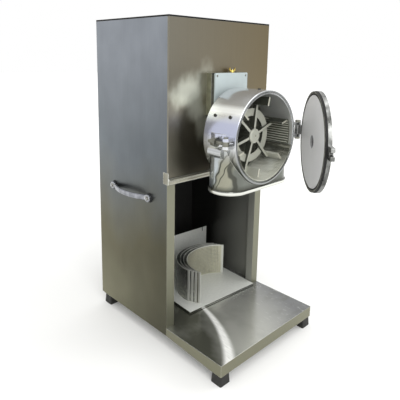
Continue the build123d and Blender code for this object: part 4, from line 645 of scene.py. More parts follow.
def casting(name, tones, bore):
    """Hand-polished cast aluminium: soft waves in the gloss, painted reflections, highlights and shade,
    darker below, flour in a bore.
    """
    material, tree, shader, place = begin(name, metallic=0.9, roughness=0.26)
    across, depth, height = add(tree, "SeparateXYZ", output=None, Vector=place)
    wave = mottle(tree, place, (90, 90, 60), detail=1.0)
    fine = mottle(tree, place, (1.4, 1.4, 1.4))
    # Painted reflection: the skirt darker low down.
    low = add(tree, "MapRange", Value=height, From=SKIRT_DARK_REFLECTION)
    tone = lay(tree, tones.casting, (low, tones.casting_dark_reflection))
    if bore:
        tone = painted_reflections(tree, place, low, tones, tone)
    left = add(tree, "MapRange", Value=across, From=BAND_SIDE, To=(0.0, 0.85))
    band = stripe(tree, height, BAND_HEIGHT, BAND_FULL, BAND_GONE, most=left)
    relief, worn = worn_edges(tree, radius=1.5, fine=fine)
    # Painted reflection on the bluish flank, painted highlights in the band and on the bead, painted shade
    # above the bead, bare wear on the edges.
    tone = lay(
        tree, tone,
        (0.6, tones.casting_blue_reflection, (across, FLANK_SIDE), (height, FLANK_FOOT), (height, FLANK_HEAD)),
        (band, tones.casting_highlight),
        (1.0, tones.casting_line, (height, BEAD_SHADE)),
        (1.0, tones.bare, (height, BEAD_HIGHLIGHT)),
        (worn, tones.bare),
    )
    metal = add(tree, "MapRange", Value=band, To=(0.8, 0.3))
    gloss = add(tree, "MapRange", Value=wave, To=(0.12, 0.22))
    if bore:
        away = from_mill_axis(tree, place)
        out = add(tree, "MapRange", Value=away, From=span(bore, -0.5, 0.5))
        streaks = mottle(tree, place, (9, 40, 9))
        # Painted shade darkens the inside upwards, and painted light pales it to the right.
        high = lay(tree, tones.inside_shade, (1.0, tones.inside_light, (across, INSIDE_LIGHT_RIGHT)))
        film = lay(tree, tones.dusty, (streaks, tones.flour), (1.0, high, (height, INSIDE_SHADE_RISE)))
        # A darker painted reflection on the front of the drum's rim.
        tone = lay(tree, tone, (1.0, tones.casting_rim_reflection, (depth, RIM_REFLECTION)))
        tone = lay(tree, film, (out, tone))
        metal = add(tree, "Math", TIMES, i0=out, i1=metal)
        gloss = add(tree, "MapRange", Value=out, To=(DUST_ROUGH, gloss))
    paint(tree, shader, Base_Color=tone, Roughness=gloss, Metallic=metal, Normal=relief)
    return material


# Y of the normals of faces that look to the front, and the heights between which the painted shade darkens.
FACES_FRONT = (-0.2, -0.8)
SIDE_SHADE_RISE = span(MILL_AXIS.z, -50, 30)


def dusted(name, tone, tones, metallic, rough, most=0.5, side=None):
    """Cast or ground metal under a flour film, which lies thicker in streaks and off the edges."""
    material, tree, shader, place = begin(name, metallic, rough)
    streaks = mottle(tree, place, (10, 26, 10))
    fine = mottle(tree, place, (1.0, 1.0, 1.0))
    share = add(tree, "Math", TIMES, i0=streaks, i1=most)
    film = lay(tree, tone, (share, tones.flour))
    if side is not None:
        # The faces that do not look along the mill's axis to the front carry painted light and shade,
        # darker high on the rotor than low, as lit where it last stopped.
        flat = add(tree, "NewGeometry", output="Normal")
        ahead = add(tree, "SeparateXYZ", output="Y", Vector=flat)
        height = add(tree, "SeparateXYZ", output="Z", Vector=place)
        film = lay(
            tree, side, (1.0, tones.rotor_shaded_side, (height, SIDE_SHADE_RISE)), (1.0, film, (ahead, FACES_FRONT))
        )
    gloss = add(tree, "MapRange", Value=streaks, To=(0.85 * rough, min(1.0, 1.25 * rough)))
    relief, worn = worn_edges(tree, radius=0.8, fine=fine)
    film = lay(tree, film, (worn, tones.bare))
    paint(tree, shader, Base_Color=film, Roughness=gloss, Normal=relief)
    return material


def ribbed_liner(tones, crest, groove):
    """Cast iron ribs with pale crests over dark grooves."""
    material, tree, shader, place = begin("Ribbed cast iron liner", metallic=0.25, roughness=0.5)
    grain = mottle(tree, place, (4, 14, 4), low=0.85, high=1.05)
    fine = mottle(tree, place, (1.0, 1.0, 1.0))
    away = from_mill_axis(tree, place)
    flank = (groove - 0.1 * MM, (crest + groove) / 2)
    tone = lay(tree, tones.liner_groove, (1.0, tones.liner_crest, (away, flank)))
    tone = lay(tree, tone, (1.0, grain), mode="MULTIPLY")
    relief = worn_edges(tree, radius=0.5, fine=fine)[0]
    paint(tree, shader, Base_Color=tone, Normal=relief)
    return material


# Heights between which the door's rim and plate grow lighter: painted shade low on the rim, painted light
# high on the plate.
RIM_RISE = span(DOOR_MIDDLE.z, -100, 100)
PLATE_RISE = span(DOOR_MIDDLE.z, -50, 120)
# How far faces turn towards the drum where the painted shade of the recess starts and is full.
FACES_DRUM = (-0.6, -0.3)


def door_back(tones, recess, reach):
    """Half-polished cast aluminium: dark and bright patches of painted reflection on its rim, painted shade
    low on the rim and in the recess.
    """
    material, tree, shader, place = begin("Half-polished cast aluminium", metallic=0.8, roughness=0.32)
    cloud = mottle(tree, place, (24, 24, 34))
    fine = mottle(tree, place, (1.4, 1.4, 1.4))
    height = add(tree, "SeparateXYZ", output="Z", Vector=place)
    # Painted shade low on the rim.
    light = add(tree, "MapRange", Value=height, From=RIM_RISE, To=(0.5, 1.0))
    edge = lay(tree, tones.door_dark_reflection, (cloud, tones.door_bright_reflection))
    edge = lay(tree, edge, (1.0, light), mode="MULTIPLY")
    away = add(tree, "VectorMath", APART, "Value", i0=place, i1=DOOR_MIDDLE)
    # Only the side that closes on the drum has the recess.
    inward = (DOOR_MIDDLE - Vector(JOINTS["door_swing"]["pos_m"])).cross(UP).normalized()
    flat = add(tree, "TexCoord", output="Normal")
    side = add(tree, "VectorMath", ALONG, "Value", i0=flat, i1=inward)
    hollow = add(tree, "MapRange", Value=away, From=span(recess, 3, 2))
    hollow = add(tree, "MapRange", Value=side, From=FACES_DRUM, To=(0.0, hollow))
    relief, worn = worn_edges(tree, radius=1.2, fine=fine, most=0.6)
    # The ribbed back is evenly satin inside the rim.
    tone = patchy(tree, tones.door_back, 0.1, cloud)
    tone = lay(
        # Painted reflection on the rim, wear on the edges, painted shade in the recess.
        tree, tone, (1.0, edge, (away, span(reach, -7, -3))), (worn, tones.bare), (hollow, tones.recess)
    )
    metal = add(tree, "MapRange", Value=hollow, To=(0.8, 0.0))
    gloss = add(tree, "MapRange", Value=cloud, To=(0.24, 0.4))
    paint(tree, shader, Base_Color=tone, Roughness=gloss, Metallic=metal, Normal=relief)
    return material


# The flour ring on the gasket is full within the first reach and gone past the second.
RING_FULL = 1.5 * MM
RING_GONE = 3 * MM


def door_seal(tones, seat):
    """Moulded black rubber: dull, with a grey ring of flour where it meets the rim of the drum."""
    material, tree, shader, place = begin("Moulded gasket rubber", metallic=0.0, roughness=0.75)
    cloud = mottle(tree, place, (12, 12, 12))
    away = add(tree, "VectorMath", APART, "Value", i0=place, i1=DOOR_MIDDLE)
    broken = add(tree, "MapRange", Value=cloud, To=(0.05, 0.5))
    ring = stripe(tree, away, seat, RING_FULL, RING_GONE, most=broken)
    tone = lay(tree, tones.rubber, (ring, tones.flour))
    gloss = add(tree, "MapRange", Value=cloud, To=(0.65, 0.85))
    paint(tree, shader, Base_Color=tone, Roughness=gloss)
    return material


def door_sheet(tones, recess):
    """Satin pressed sheet: pale and even, with faint wiping marks, painted light higher up and painted
    shade in its recess.
    """
    material, tree, shader, place = begin("Satin pressed door sheet", metallic=0.0, roughness=0.42)
    cloud = mottle(tree, place, (70, 70, 90), detail=2.0)
    height = add(tree, "SeparateXYZ", output="Z", Vector=place)
    # Painted light higher up on the plate.
    light = add(tree, "MapRange", Value=height, From=PLATE_RISE, To=(1.0, 1.16))
    away = add(tree, "VectorMath", APART, "Value", i0=place, i1=DOOR_MIDDLE)
    tone = patchy(tree, tones.door_plate, 0.04, cloud)
    tone = lay(tree, tone, (1.0, light), mode="MULTIPLY")
    # Painted shade in the recess.
    tone = lay(tree, tone, (1.0, tones.recess, (away, span(recess, 0.5, -0.5))))
    gloss = add(tree, "MapRange", Value=cloud, To=(0.38, 0.48))
    paint(tree, shader, Base_Color=tone, Roughness=gloss)
    return material


# The fitted screen darkens between these heights, with streaks that shift it.
EDGE_DARK_RISE = span(MILL_AXIS.z, -115, -60)
EDGE_DARK_SHIFT = 12 * MM
FLOUR_STREAKS = (0.5, 1.0)


def fitted_sheet(tones):
    """Punched steel in the drum: packed with flour at the bottom, darker towards its edges."""
    material, tree, shader, place = begin("Dusted screen steel", metallic=0.2, roughness=0.5)
    height = add(tree, "SeparateXYZ", output="Z", Vector=place)
    streaks = mottle(tree, place, (14, 40, 10))
    shift = add(tree, "MapRange", Value=streaks, To=(-EDGE_DARK_SHIFT, EDGE_DARK_SHIFT))
    height = add(tree, "Math", PLUS, i0=height, i1=shift)
    tone = lay(
        tree, tones.floor_screen,
        (1.0, tones.screen_edge, (height, EDGE_DARK_RISE)),
        (0.5, tones.flour, (streaks, FLOUR_STREAKS)),
    )
    gloss = add(tree, "MapRange", Value=streaks, To=(0.35, 0.6))
    paint(tree, shader, Base_Color=tone, Roughness=gloss)
    return material


# Down from the top of a screen: the part where painted shade grows downwards (painted light on the first
# screen), the foot that flour has settled on, and the painted highlight along the edge.
SCREEN_SHADE_RISE = span(SCREEN_HIGH.z, -100, -20)
FLOUR_FOOT = span(SCREEN_HIGH.z, -40, -110)
EDGE_HIGHLIGHT = span(SCREEN_HIGH.z, -4.5, -2.5)
# From the left of the first screen: its bend, where painted shade falls.
SCREEN_BEND = span(SCREEN_LOW.x, 50, 130)
# Values of the patterns at which grains and specks of flour start and are full.
FOOT_GRAINS = (0.5, 0.72)
SPECKS = (0.85, 1.0)


def screen_sheet(name, sheet, tones, foot_light, bent, flour):
    """Punched steel sheet: grey-olive with specks of flour, painted light and shade towards its foot,
    painted shade in its bend, and painted highlights at its edges and ends.
    """
    material, tree, shader, place = begin(name, metallic=0.5, roughness=0.36)
    across, _, height = add(tree, "SeparateXYZ", output=None, Vector=place)
    cloud = mottle(tree, place, (45, 45, 70), detail=2.0)
    fine = mottle(tree, place, (1.2, 1.2, 1.2))
    light = add(tree, "MapRange", Value=height, From=SCREEN_SHADE_RISE, To=(1.0, foot_light))
    # Painted shade darkens the hollow side in its bend.
    bend = add(tree, "MapRange", Value=across, From=SCREEN_BEND, To=(bent, 1.0))
    tone = patchy(tree, sheet, 0.15, cloud)
    tone = lay(tree, tone, (1.0, light), (1.0, bend), mode="MULTIPLY")
    grains = mottle(tree, place, (7, 7, 7), detail=4.0)
    relief, worn = worn_edges(tree, radius=0.5, fine=fine)
    ends = add(tree, "Attribute", {"attribute_name": "ends"}, "Fac")
    specks = mottle(tree, place, (5, 5, 5), detail=2.0)
    specks = add(tree, "MapRange", Value=specks, From=SPECKS, To=(0.0, 0.6))
    # Painted highlights along the top edge and the stiffened ends, with bare wear at the edges and pale
    # specks.
    edge = add(tree, "MapRange", Value=height, From=EDGE_HIGHLIGHT)
    for share in (worn, ends, specks):
        edge = add(tree, "Math", LARGER, i0=edge, i1=share)
    tone = lay(
        tree, tone, (flour, tones.flour, (height, FLOUR_FOOT), (grains, FOOT_GRAINS)), (edge, tones.bare)
    )
    gloss = add(tree, "MapRange", Value=fine, To=(0.28, 0.4))
    paint(tree, shader, Base_Color=tone, Roughness=gloss, Normal=relief)
    return material


def wear(material, *nodes):
    """Give CAD nodes their finish."""
    for node in nodes:
        slots = frame["nodes"][node].data.materials
        slots.clear()
        slots.append(material)


def start(name, primitive, **options):
    """Add a primitive by itself in the selection, under a name."""
    bpy.ops.object.select_all(action="DESELECT")
    getattr(bpy.ops.mesh, f"primitive_{primitive}_add")(**options)
    piece = bpy.context.object
    piece.name = name
    piece.data.name = name
    return piece


def edit(piece, kind, test):
    """Go into edit mode with the faces or vertices selected that pass a test."""
    bpy.ops.object.mode_set(mode="EDIT")
    bpy.ops.mesh.select_mode(type=kind)
    bpy.ops.mesh.select_all(action="DESELECT")
    bpy.ops.object.mode_set(mode="OBJECT")
    parts = piece.data.polygons if kind == "FACE" else piece.data.vertices
    for part in parts:
        part.select = test(part)
    bpy.ops.object.mode_set(mode="EDIT")


def leave():
    """Go back to object mode."""
    bpy.ops.object.mode_set(mode="OBJECT")


def settle():
    """Put the place, turn and scale of the selected pieces into their meshes."""
    bpy.ops.object.transform_apply(location=True, rotation=True, scale=True)


def apply(piece, kind, **settings):
    """Add a modifier and apply it."""
    modifier = piece.modifiers.new(kind, kind)
    for name, value in settings.items():
        setattr(modifier, name, value)
    bpy.context.view_layer.objects.active = piece
    bpy.ops.object.modifier_apply(modifier=modifier.name)


def twin(piece):
    """Copy a piece with its own mesh."""
    copy = piece.copy()
    copy.data = piece.data.copy()
    bpy.context.scene.collection.objects.link(copy)
    return copy


def spread(piece, places):
    """Copy a piece to each place and join the copies under its name."""
    name = piece.name
    copies = [twin(piece) for _ in places]
    bpy.data.objects.remove(piece)
    bpy.ops.object.select_all(action="DESELECT")
    for copy, place in zip(copies, places):
        copy.matrix_world = place
        copy.select_set(True)
    bpy.context.view_layer.objects.active = copies[0]
    if len(copies) > 1:
        bpy.ops.object.join()
    settle()
    joined = bpy.context.object
    joined.name = name
    joined.data.name = name
    return joined


def hand_over(piece, body, material):
    """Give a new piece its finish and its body."""
    if not piece.data.polygons:
        raise RuntimeError(f"{piece.name} has no faces")
    piece.data.materials.clear()
    piece.data.materials.append(material)
    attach(piece, body)


# Normals past this value of Z belong to end faces.
END_FACE = 0.9
# Angles up to which faces are shaded smooth, on the bent screens and on turned pieces.
SHEET_SMOOTH = radians(30)
TURNED_SMOOTH = radians(35)
# Rise of a screw head and of a rivet head, and the size of a slot, for a head radius of 1.
SCREW_RISE = 0.5
RIVET_RISE = 0.55
SLOT_SIZE = (1.15, 0.24, 0.45)


def domed_head(name, radius, rise, rounding, sides, steps):
    """Head on Z, like a screw's or rivet's: a low cylinder with its upper edge rounded."""
    head = start(name, "cylinder", vertices=sides, radius=radius, depth=rise, location=(0, 0, rise / 2))
    edit(head, "FACE", lambda face: face.normal.z > END_FACE)
    bpy.ops.mesh.bevel(offset=rounding * rise, segments=steps, affect="EDGES")
    leave()
    return head


def pan_head(name, radius):
    """Pan-head screw on Z: a rounded head with a cross recess."""
    rise = SCREW_RISE * radius
    head = domed_head(name, radius, rise, rounding=0.6, sides=24, steps=3)
    for turn in (0, pi / 2):
        slot = start("Slot", "cube", size=1, location=(0, 0, rise), rotation=(0, 0, turn))
        slot.scale = [size * radius for size in SLOT_SIZE]
        settle()
        apply(head, "BOOLEAN", object=slot, operation="DIFFERENCE", solver="EXACT")
        bpy.data.objects.remove(slot)
    return head


# Section of a thread: on which side of the rod's surface each corner lies, and how far up the pitch.
THREAD_SECTION = ((-1, 0.1), (1, 0.4), (-1, 0.9), (1, 0.6))
THREAD_STEPS = 20


def thread(name, rod, crest, pitch, run):
    """Thread ridge round a rod on Z, wound up from a flat section."""
    ridge = start(name, "plane", size=pitch)
    for vertex, (side, share) in zip(ridge.data.vertices, THREAD_SECTION):
        vertex.co = (rod + side * crest, 0, share * pitch)
    edit(ridge, "FACE", lambda face: True)
    bpy.ops.mesh.delete(type="ONLY_FACE")
    leave()
    apply(
        ridge, "SCREW", screw_offset=pitch, iterations=int(run / pitch), steps=THREAD_STEPS,
        render_steps=THREAD_STEPS,
    )
    edit(ridge, "VERT", lambda vertex: True)
    bpy.ops.mesh.fill_holes(sides=4)
    bpy.ops.mesh.select_all(action="SELECT")
    bpy.ops.mesh.normals_make_consistent(inside=False)
    leave()
    return ridge


class MILL_OT_cabinet(Operator):
    """Finish the sheets of the cabinet and its base"""

    bl_idname = "mill.cabinet"
    bl_label = "Cabinet sheets"

    def execute(self, context):
        tones = context.scene.mill_colours
        sides = side_sheet("Brushed stainless side sheet", tones, has_bay=True)
        wear(sides, "left_side_panel", "right_side_panel")
        plain = side_sheet("Brushed stainless sheet", tones, has_bay=False)
        wear(plain, "back_panel", "hopper_lid", "hopper")
        wear(front_sheet(tones), "front_panel")
        wear(base_sheet(tones), "base_plate")
        # Rolled stainless strip: bare metal along its folds, drawn wide as a painted highlight.
        strip = finish(
            "Rolled stainless strip", tones.trim, metallic=0.75, rough=0.18, patch=45, grit=2.0,
            contrast=0.22, edge=4.0, bare=tones.bare,
        )
        wear(strip, "front_trim")
        # Brushed stainless box: satin and olive, scuffed along its edges.
        box = finish(
            "Brushed stainless box", tones.feed_box, metallic=0.6, rough=0.36, patch=25, grit=1.5,
            contrast=0.2, edge=1.5, bare=tones.bare,
        )
        wear(box, "feed_box")
        # Baked dark paint: even and half dull, with faint clouds.
        dark = finish("Baked dark paint", tones.bay, metallic=0.0, rough=0.5, patch=120, grit=2.0)
        wear(dark, "bay_back_sheet")
        # Zinc plate: soft grey gloss with small cloudy spangles.
        zinc = finish(
            "Zinc-plated steel", tones.zinc, metallic=1.0, rough=0.35, patch=30, grit=1.5, bare=tones.bare
        )
        wear(
            zinc, "foot_brackets", "foot_bolts", "compartment_floor", "motor_shelf", "mill_mount_plate",
            "mill_bolts", "lid_hinge_leaves", "lid_hinge_pins", "lid_hinge_straps", "feed_gate",
        )
        # Chromed steel: mirror bright with a cool cast, with painted reflection in cloudy patches and
        # painted highlights in white along its edges.
        chrome = finish(
            "Chromed steel", tones.chrome, metallic=1.0, rough=0.16, patch=16, grit=2.0, contrast=0.3,
            edge=2.5, bare=tones.base_highlight_and_flour,
        )
        wear(chrome, "left_handle", "right_handle")
        return {"FINISHED"}


class MILL_OT_rubber(Operator):
    """Finish the feet, gaskets and edging"""

    bl_idname = "mill.rubber"
    bl_label = "Rubber pieces"

    def execute(self, context):
        tones = context.scene.mill_colours
        # Moulded rubber: near black and dull, a little greyer in patches.
        rubber = finish(
            "Moulded black rubber", tones.rubber, metallic=0.0, rough=0.6, patch=25, grit=0.8,
            contrast=0.2, edge=0.8,
        )
        rubber.node_tree.nodes["Principled BSDF"].inputs["Specular IOR Level"].default_value = 0.2
        wear(rubber, "shaft_seal", "lid_edging")
        # Scuffed foot rubber: black, rubbed grey in patches and along its edges.
        feet = finish(
            "Scuffed foot rubber", tones.foot, metallic=0.0, rough=0.6, patch=16, grit=0.8,
            contrast=0.5, edge=2.0, bare=tones.feed_gasket,
        )
        wear(feet, "rubber_feet")
        # Cut sheet rubber: dusted grey with flour in patches.
        gasket = finish(
            "Dusty sheet rubber", tones.feed_gasket, metallic=0.0, rough=0.6, patch=9, grit=0.8,
            contrast=0.5, edge=0.8,
        )
        wear(gasket, "feed_box_gasket")
        return {"FINISHED"}


class MILL_OT_mill(Operator):
    """Finish the housing, rotor, liners, door and latch"""

    bl_idname = "mill.mill"
    bl_label = "Mill castings"

    def execute(self, context):
        tones = context.scene.mill_colours
        sizes = context.scene.mill_sizes
        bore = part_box("mill_back_wall")[1].x - MILL_AXIS.x
        wear(casting("Polished cast aluminium housing", tones, bore), "mill_housing")
        wear(casting("Polished cast aluminium", tones, None), "latch_ears")
        # Dusted metals: flour greys their gloss, and painted light and shade lie on the sides of what
        # turns.
        wall = dusted("Dusted cast aluminium", tones.back_wall, tones, metallic=0.1, rough=0.7, most=0.15)
        wear(wall, "mill_back_wall")
        wear(dusted("Dusted bolt steel", tones.rotor, tones, metallic=0.35, rough=0.5), "rotor_bolt")
        spider = dusted(
            "Dusted rotor casting", tones.rotor, tones, metallic=0.35, rough=0.5, side=tones.rotor_shaded_side
        )
        wear(spider, "rotor_spider")
        blades = dusted(
            "Dusted blade steel", tones.flour, tones, metallic=0.4, rough=0.42, side=tones.blade_lit_face
        )
        wear(blades, "beater_blades")
        wear(dusted("Dusted cast iron", tones.dusty, tones, metallic=0.1, rough=0.6), "bearing_housing")
        liner = ribbed_liner(tones, sizes.liner_crest, sizes.liner_groove)
        wear(liner, "left_ribbed_liner", "right_ribbed_liner")
        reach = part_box("door_gasket")[1].z - DOOR_MIDDLE.z
        wear(door_sheet(tones, sizes.door_recess), "door_plate")
        wear(door_back(tones, sizes.door_recess, reach), "door_casting")
        wear(door_seal(tones, reach - sizes.seat_inset), "door_gasket")
        # Lacquered cover sheet: pale and bluish, even, half dull.
        cover = finish(
            "Lacquered cover sheet", tones.cover, metallic=0.0, rough=0.4, patch=60, grit=1.0, contrast=0.04
        )
        wear(cover, "feed_box_cover")
        # Turned brass: warm and bright with a fine grain.
        wear(finish("Turned brass", tones.brass, metallic=1.0, rough=0.25, patch=8, grit=0.6), "wing_nut")
        # Turned steel: grey gloss, bright along its corners.
        bolt = finish(
            "Turned steel", tones.bolt, metallic=1.0, rough=0.3, patch=10, grit=0.6, edge=0.6,
            bare=tones.bare,
        )
        wear(bolt, "shaft", "mill_bearings", "latch_pin", "door_hinge_bolt", "swing_bolt", "latch_nut")
        # Blackened screw steel: near black with an oily gloss.
        black = finish(
            "Blackened screw steel", tones.black_screw, metallic=0.6, rough=0.35, patch=5, grit=0.6
        )
        wear(black, "liner_screws")
        return {"FINISHED"}


class MILL_OT_motor(Operator):
    """Finish the motor inside the cabinet"""

    bl_idname = "mill.motor"
    bl_label = "Motor"

    def execute(self, context):
        tones = context.scene.mill_colours
        # Sprayed enamel: even grey with a slight orange peel.
        enamel = finish("Grey motor enamel", tones.enamel, metallic=0.0, rough=0.4, patch=40, grit=1.0)
        wear(
            enamel, "motor_body", "motor_front_shield", "motor_rear_shield", "motor_fan_cover",
            "motor_terminal_box",
        )
        # Moulded plastic: black and half dull.
        plastic = finish(
            "Moulded black plastic", tones.plastic, metallic=0.0, rough=0.45, patch=20, grit=0.6
        )
        wear(plastic, "motor_fan", "motor_capacitor", "cable_gland")
        return {"FINISHED"}


class MILL_OT_screens(Operator):
    """Finish the tray and model the perforated screens, four on the tray and one in the drum"""

    bl_idname = "mill.screens"
    bl_label = "Tray and screens"

    # Plain edges along the sides of a screen and its stiffened ends, in pitches.
    plain_ends = 2.2
    stiff_ends = 1.3
    # This bevel profile makes each corner of a cell hollow, so that four of them leave a round hole.
    hole_profile = 0.086
    # Faces under this share of a cell are the holes.
    hole_share = 0.45

    def execute(self, context):
        tones = context.scene.mill_colours
        sizes = context.scene.mill_sizes
        # Zinc-coated sheet: pale and dull with small spangles.
        tray = finish(
            "Zinc-coated tray sheet", tones.tray, metallic=0.15, rough=0.5, patch=9, grit=1.5, contrast=0.04
        )
        wear(tray, "screen_tray")
        # The first screen gets painted light towards its foot and painted shade in its bend; the spare
        # screens get a darker copy, painted shade between the screens.
        bright = screen_sheet(
            "Punched steel screen sheet", tones.screen, tones, foot_light=1.1, bent=0.4, flour=0.1
        )
        dark = screen_sheet(
            "Oiled steel screen sheet", tones.screen_in_shade, tones, foot_light=0.25, bent=1.0, flour=0.9
        )
        pattern = self.punched(sizes)
        outer = sizes.screen_radius + sizes.screen_gauge / 2
        for number, body in enumerate(("first", "second", "third", "fourth"), 1):
            node = f"screen_{number}"
            low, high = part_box(node)
            screen = twin(pattern)
            screen.name = f"perforated_screen_{number}"
            screen.data.name = screen.name
            screen.data.transform(Matrix.Translation((low.x + outer, high.y - outer, low.z)))
            hand_over(screen, f"{body}_screen", bright if number == 1 else dark)
            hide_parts(node)
        self.fit(pattern, sizes, fitted_sheet(tones))
        return {"FINISHED"}

    def fit(self, screen, sizes, steel):
        """Lay the last copy in the bottom of the drum, bulging down, up against the back wall."""
        screen.name = "fitted_screen"
        screen.data.name = screen.name
        deep = SCREEN_HIGH.z - SCREEN_LOW.z
        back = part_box("mill_back_wall")[0].y - sizes.screen_gap
        # X, which the screen is first turned to bulge along, goes down, and its axis goes along Y.
        laid = Matrix(((0, -1, 0, 0), (0, 0, 1, 0), (-1, 0, 0, 0), (0, 0, 0, 1)))
        screen.data.transform(
            Matrix.Translation((MILL_AXIS.x, back - deep, MILL_AXIS.z))
            @ laid @ Matrix.Rotation(-sizes.screen_apex, 4, "Z")
        )
        hand_over(screen, "cabinet", steel)

    def punched(self, sizes):
        """Flat sheet with round holes, bent round the Z axis and thickened, more so at its ends."""
        width = sizes.screen_radius * sizes.screen_sweep
        height = SCREEN_HIGH.z - SCREEN_LOW.z
        pitch = sizes.screen_pitch
        sheet = start(
            "Screen", "grid", size=1,
            x_subdivisions=round(width / pitch), y_subdivisions=round(height / pitch),
        )
        sheet.scale = (width, height, 1)
        settle()
        side = width / 2 - self.plain_ends * pitch
        top = height / 2 - pitch
        edit(sheet, "VERT", lambda vertex: abs(vertex.co.x) < side and abs(vertex.co.y) < top)
        bpy.ops.mesh.bevel(
            offset=sizes.screen_hole, segments=2, profile=self.hole_profile, affect="VERTICES"
        )
        leave()
        edit(sheet, "FACE", lambda face: face.area < self.hole_share * pitch * pitch)
        bpy.ops.mesh.delete(type="FACE")
        leave()
        flat = width / 2 - self.stiff_ends * pitch
        ends = [float(abs(vertex.co.x) > flat) for vertex in sheet.data.vertices]
        stiff = sheet.vertex_groups.new(name="Ends")
        for index, end in enumerate(ends):
            stiff.add([index], max(end, sizes.screen_gauge / sizes.screen_bar), "REPLACE")
        bright = sheet.data.attributes.new("ends", "FLOAT", "POINT")
        bright.data.foreach_set("value", ends)
        for vertex in sheet.data.vertices:
            turn = sizes.screen_apex - vertex.co.x / sizes.screen_radius
            vertex.co = (
                sizes.screen_radius * cos(turn), sizes.screen_radius * sin(turn), vertex.co.y + height / 2
            )
        apply(sheet, "SOLIDIFY", thickness=sizes.screen_bar, offset=0.0, vertex_group="Ends")
        bpy.ops.object.shade_smooth_by_angle(angle=SHEET_SMOOTH)
        return sheet


class MILL_OT_screws(Operator):
    """Model the screws of the feed cover, the back panel and the handles, and the hinge rivets"""

    bl_idname = "mill.screws"
    bl_label = "Screws and rivets"

    # How far in from the edges the screws stand, in head radii.
    cover_inset = 2.6
    panel_inset = 4
    # Heights of the back panel's screws and of the hinge rivets, as shares of their pieces.
    panel_levels = (0.05, 0.28, 0.5, 0.72, 0.93)
    rivet_level = 0.35

    def execute(self, context):
        tones = context.scene.mill_colours
        sizes = context.scene.mill_sizes
        # Turned screw steel: grey gloss, bright along its edges.
        steel = finish(
            "Turned screw steel", tones.bolt, metallic=1.0, rough=0.32, patch=8, grit=0.6, contrast=0.15,
            edge=0.4, bare=tones.bare,
        )
        low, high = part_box("feed_box_cover")
        inset = self.cover_inset * sizes.cover_screw
        spots = [
            (x, low.y, z) for x in (low.x + inset, high.x - inset) for z in (low.z + inset, high.z - inset)
        ]
        self.place(pan_head("cover_screws", sizes.cover_screw), steel, TO_FRONT, spots)
        low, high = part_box("back_panel")
        side = high.x - self.panel_inset * sizes.panel_screw
        levels = [low.z + (high.z - low.z) * share for share in self.panel_levels]
        spots = [(x, CABINET_BACK, z) for x in (-side, side) for z in levels]
        self.place(pan_head("back_panel_screws", sizes.panel_screw), steel, TO_BACK, spots)
        for name, turn, wall, out in HANDLES:
            low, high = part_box(name)
            floor = wall + out * (sizes.handle_depth - sizes.handle_seat)
            ends = (low.y + sizes.handle_boss, high.y - sizes.handle_boss)
            spots = [(floor, end, (low.z + high.z) / 2) for end in ends]
            self.place(pan_head(f"{name}_screws", sizes.handle_screw), steel, turn, spots)
        low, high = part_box("lid_hinge_leaves")
        level = low.z + (high.z - low.z) * self.rivet_level
        spots = [
            (side * sizes.hinge_spread + step, CABINET_BACK + sizes.hinge_gauge, level)
            for side in (-1, 1) for step in (-sizes.hinge_rivets, sizes.hinge_rivets)
        ]
        rise = RIVET_RISE * sizes.rivet
        rivet = domed_head("hinge_rivets", sizes.rivet, rise, rounding=0.85, sides=20, steps=4)
        self.place(rivet, steel, TO_BACK, spots)
        return {"FINISHED"}

    def place(self, head, steel, turn, spots):
        """Copy a head to its spots and hand the group over to the cabinet."""
        group = spread(head, [Matrix.Translation(spot) @ turn for spot in spots])
        bpy.ops.object.shade_smooth_by_angle(angle=TURNED_SMOOTH)
        hand_over(group, "cabinet", steel)


class MILL_OT_washers(Operator):
    """Model the rubber washers round the handles' bosses"""

    bl_idname = "mill.washers"
    bl_label = "Handle washers"

    def execute(self, context):
        tones = context.scene.mill_colours
        sizes = context.scene.mill_sizes
        # Moulded washer rubber: black and dull.
        rubber = finish(
            "Washer rubber", tones.rubber, metallic=0.0, rough=0.6, patch=12, grit=0.8, contrast=0.2,
            edge=0.4,
        )
        for name, turn, wall, out in HANDLES:
            low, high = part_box(name)
            ring = start(
                f"{name}_washers", "cylinder", vertices=40, radius=sizes.handle_boss + sizes.washer_rim,
                depth=sizes.washer_gauge, location=(0, 0, sizes.washer_gauge / 2),
            )
            edit(ring, "FACE", lambda face: abs(face.normal.z) > END_FACE)
            bpy.ops.mesh.inset(thickness=sizes.washer_rim, use_individual=True)
            bpy.ops.mesh.bridge_edge_loops()
            leave()
            apply(ring, "BEVEL", width=sizes.washer_round, segments=3, limit_method="ANGLE")
            ends = (low.y + sizes.handle_boss, high.y - sizes.handle_boss)
            places = [Matrix.Translation((wall, end, (low.z + high.z) / 2)) @ turn for end in ends]
            ring = spread(ring, places)
            bpy.ops.object.shade_smooth_by_angle(angle=TURNED_SMOOTH)
            hand_over(ring, "cabinet", rubber)
        return {"FINISHED"}


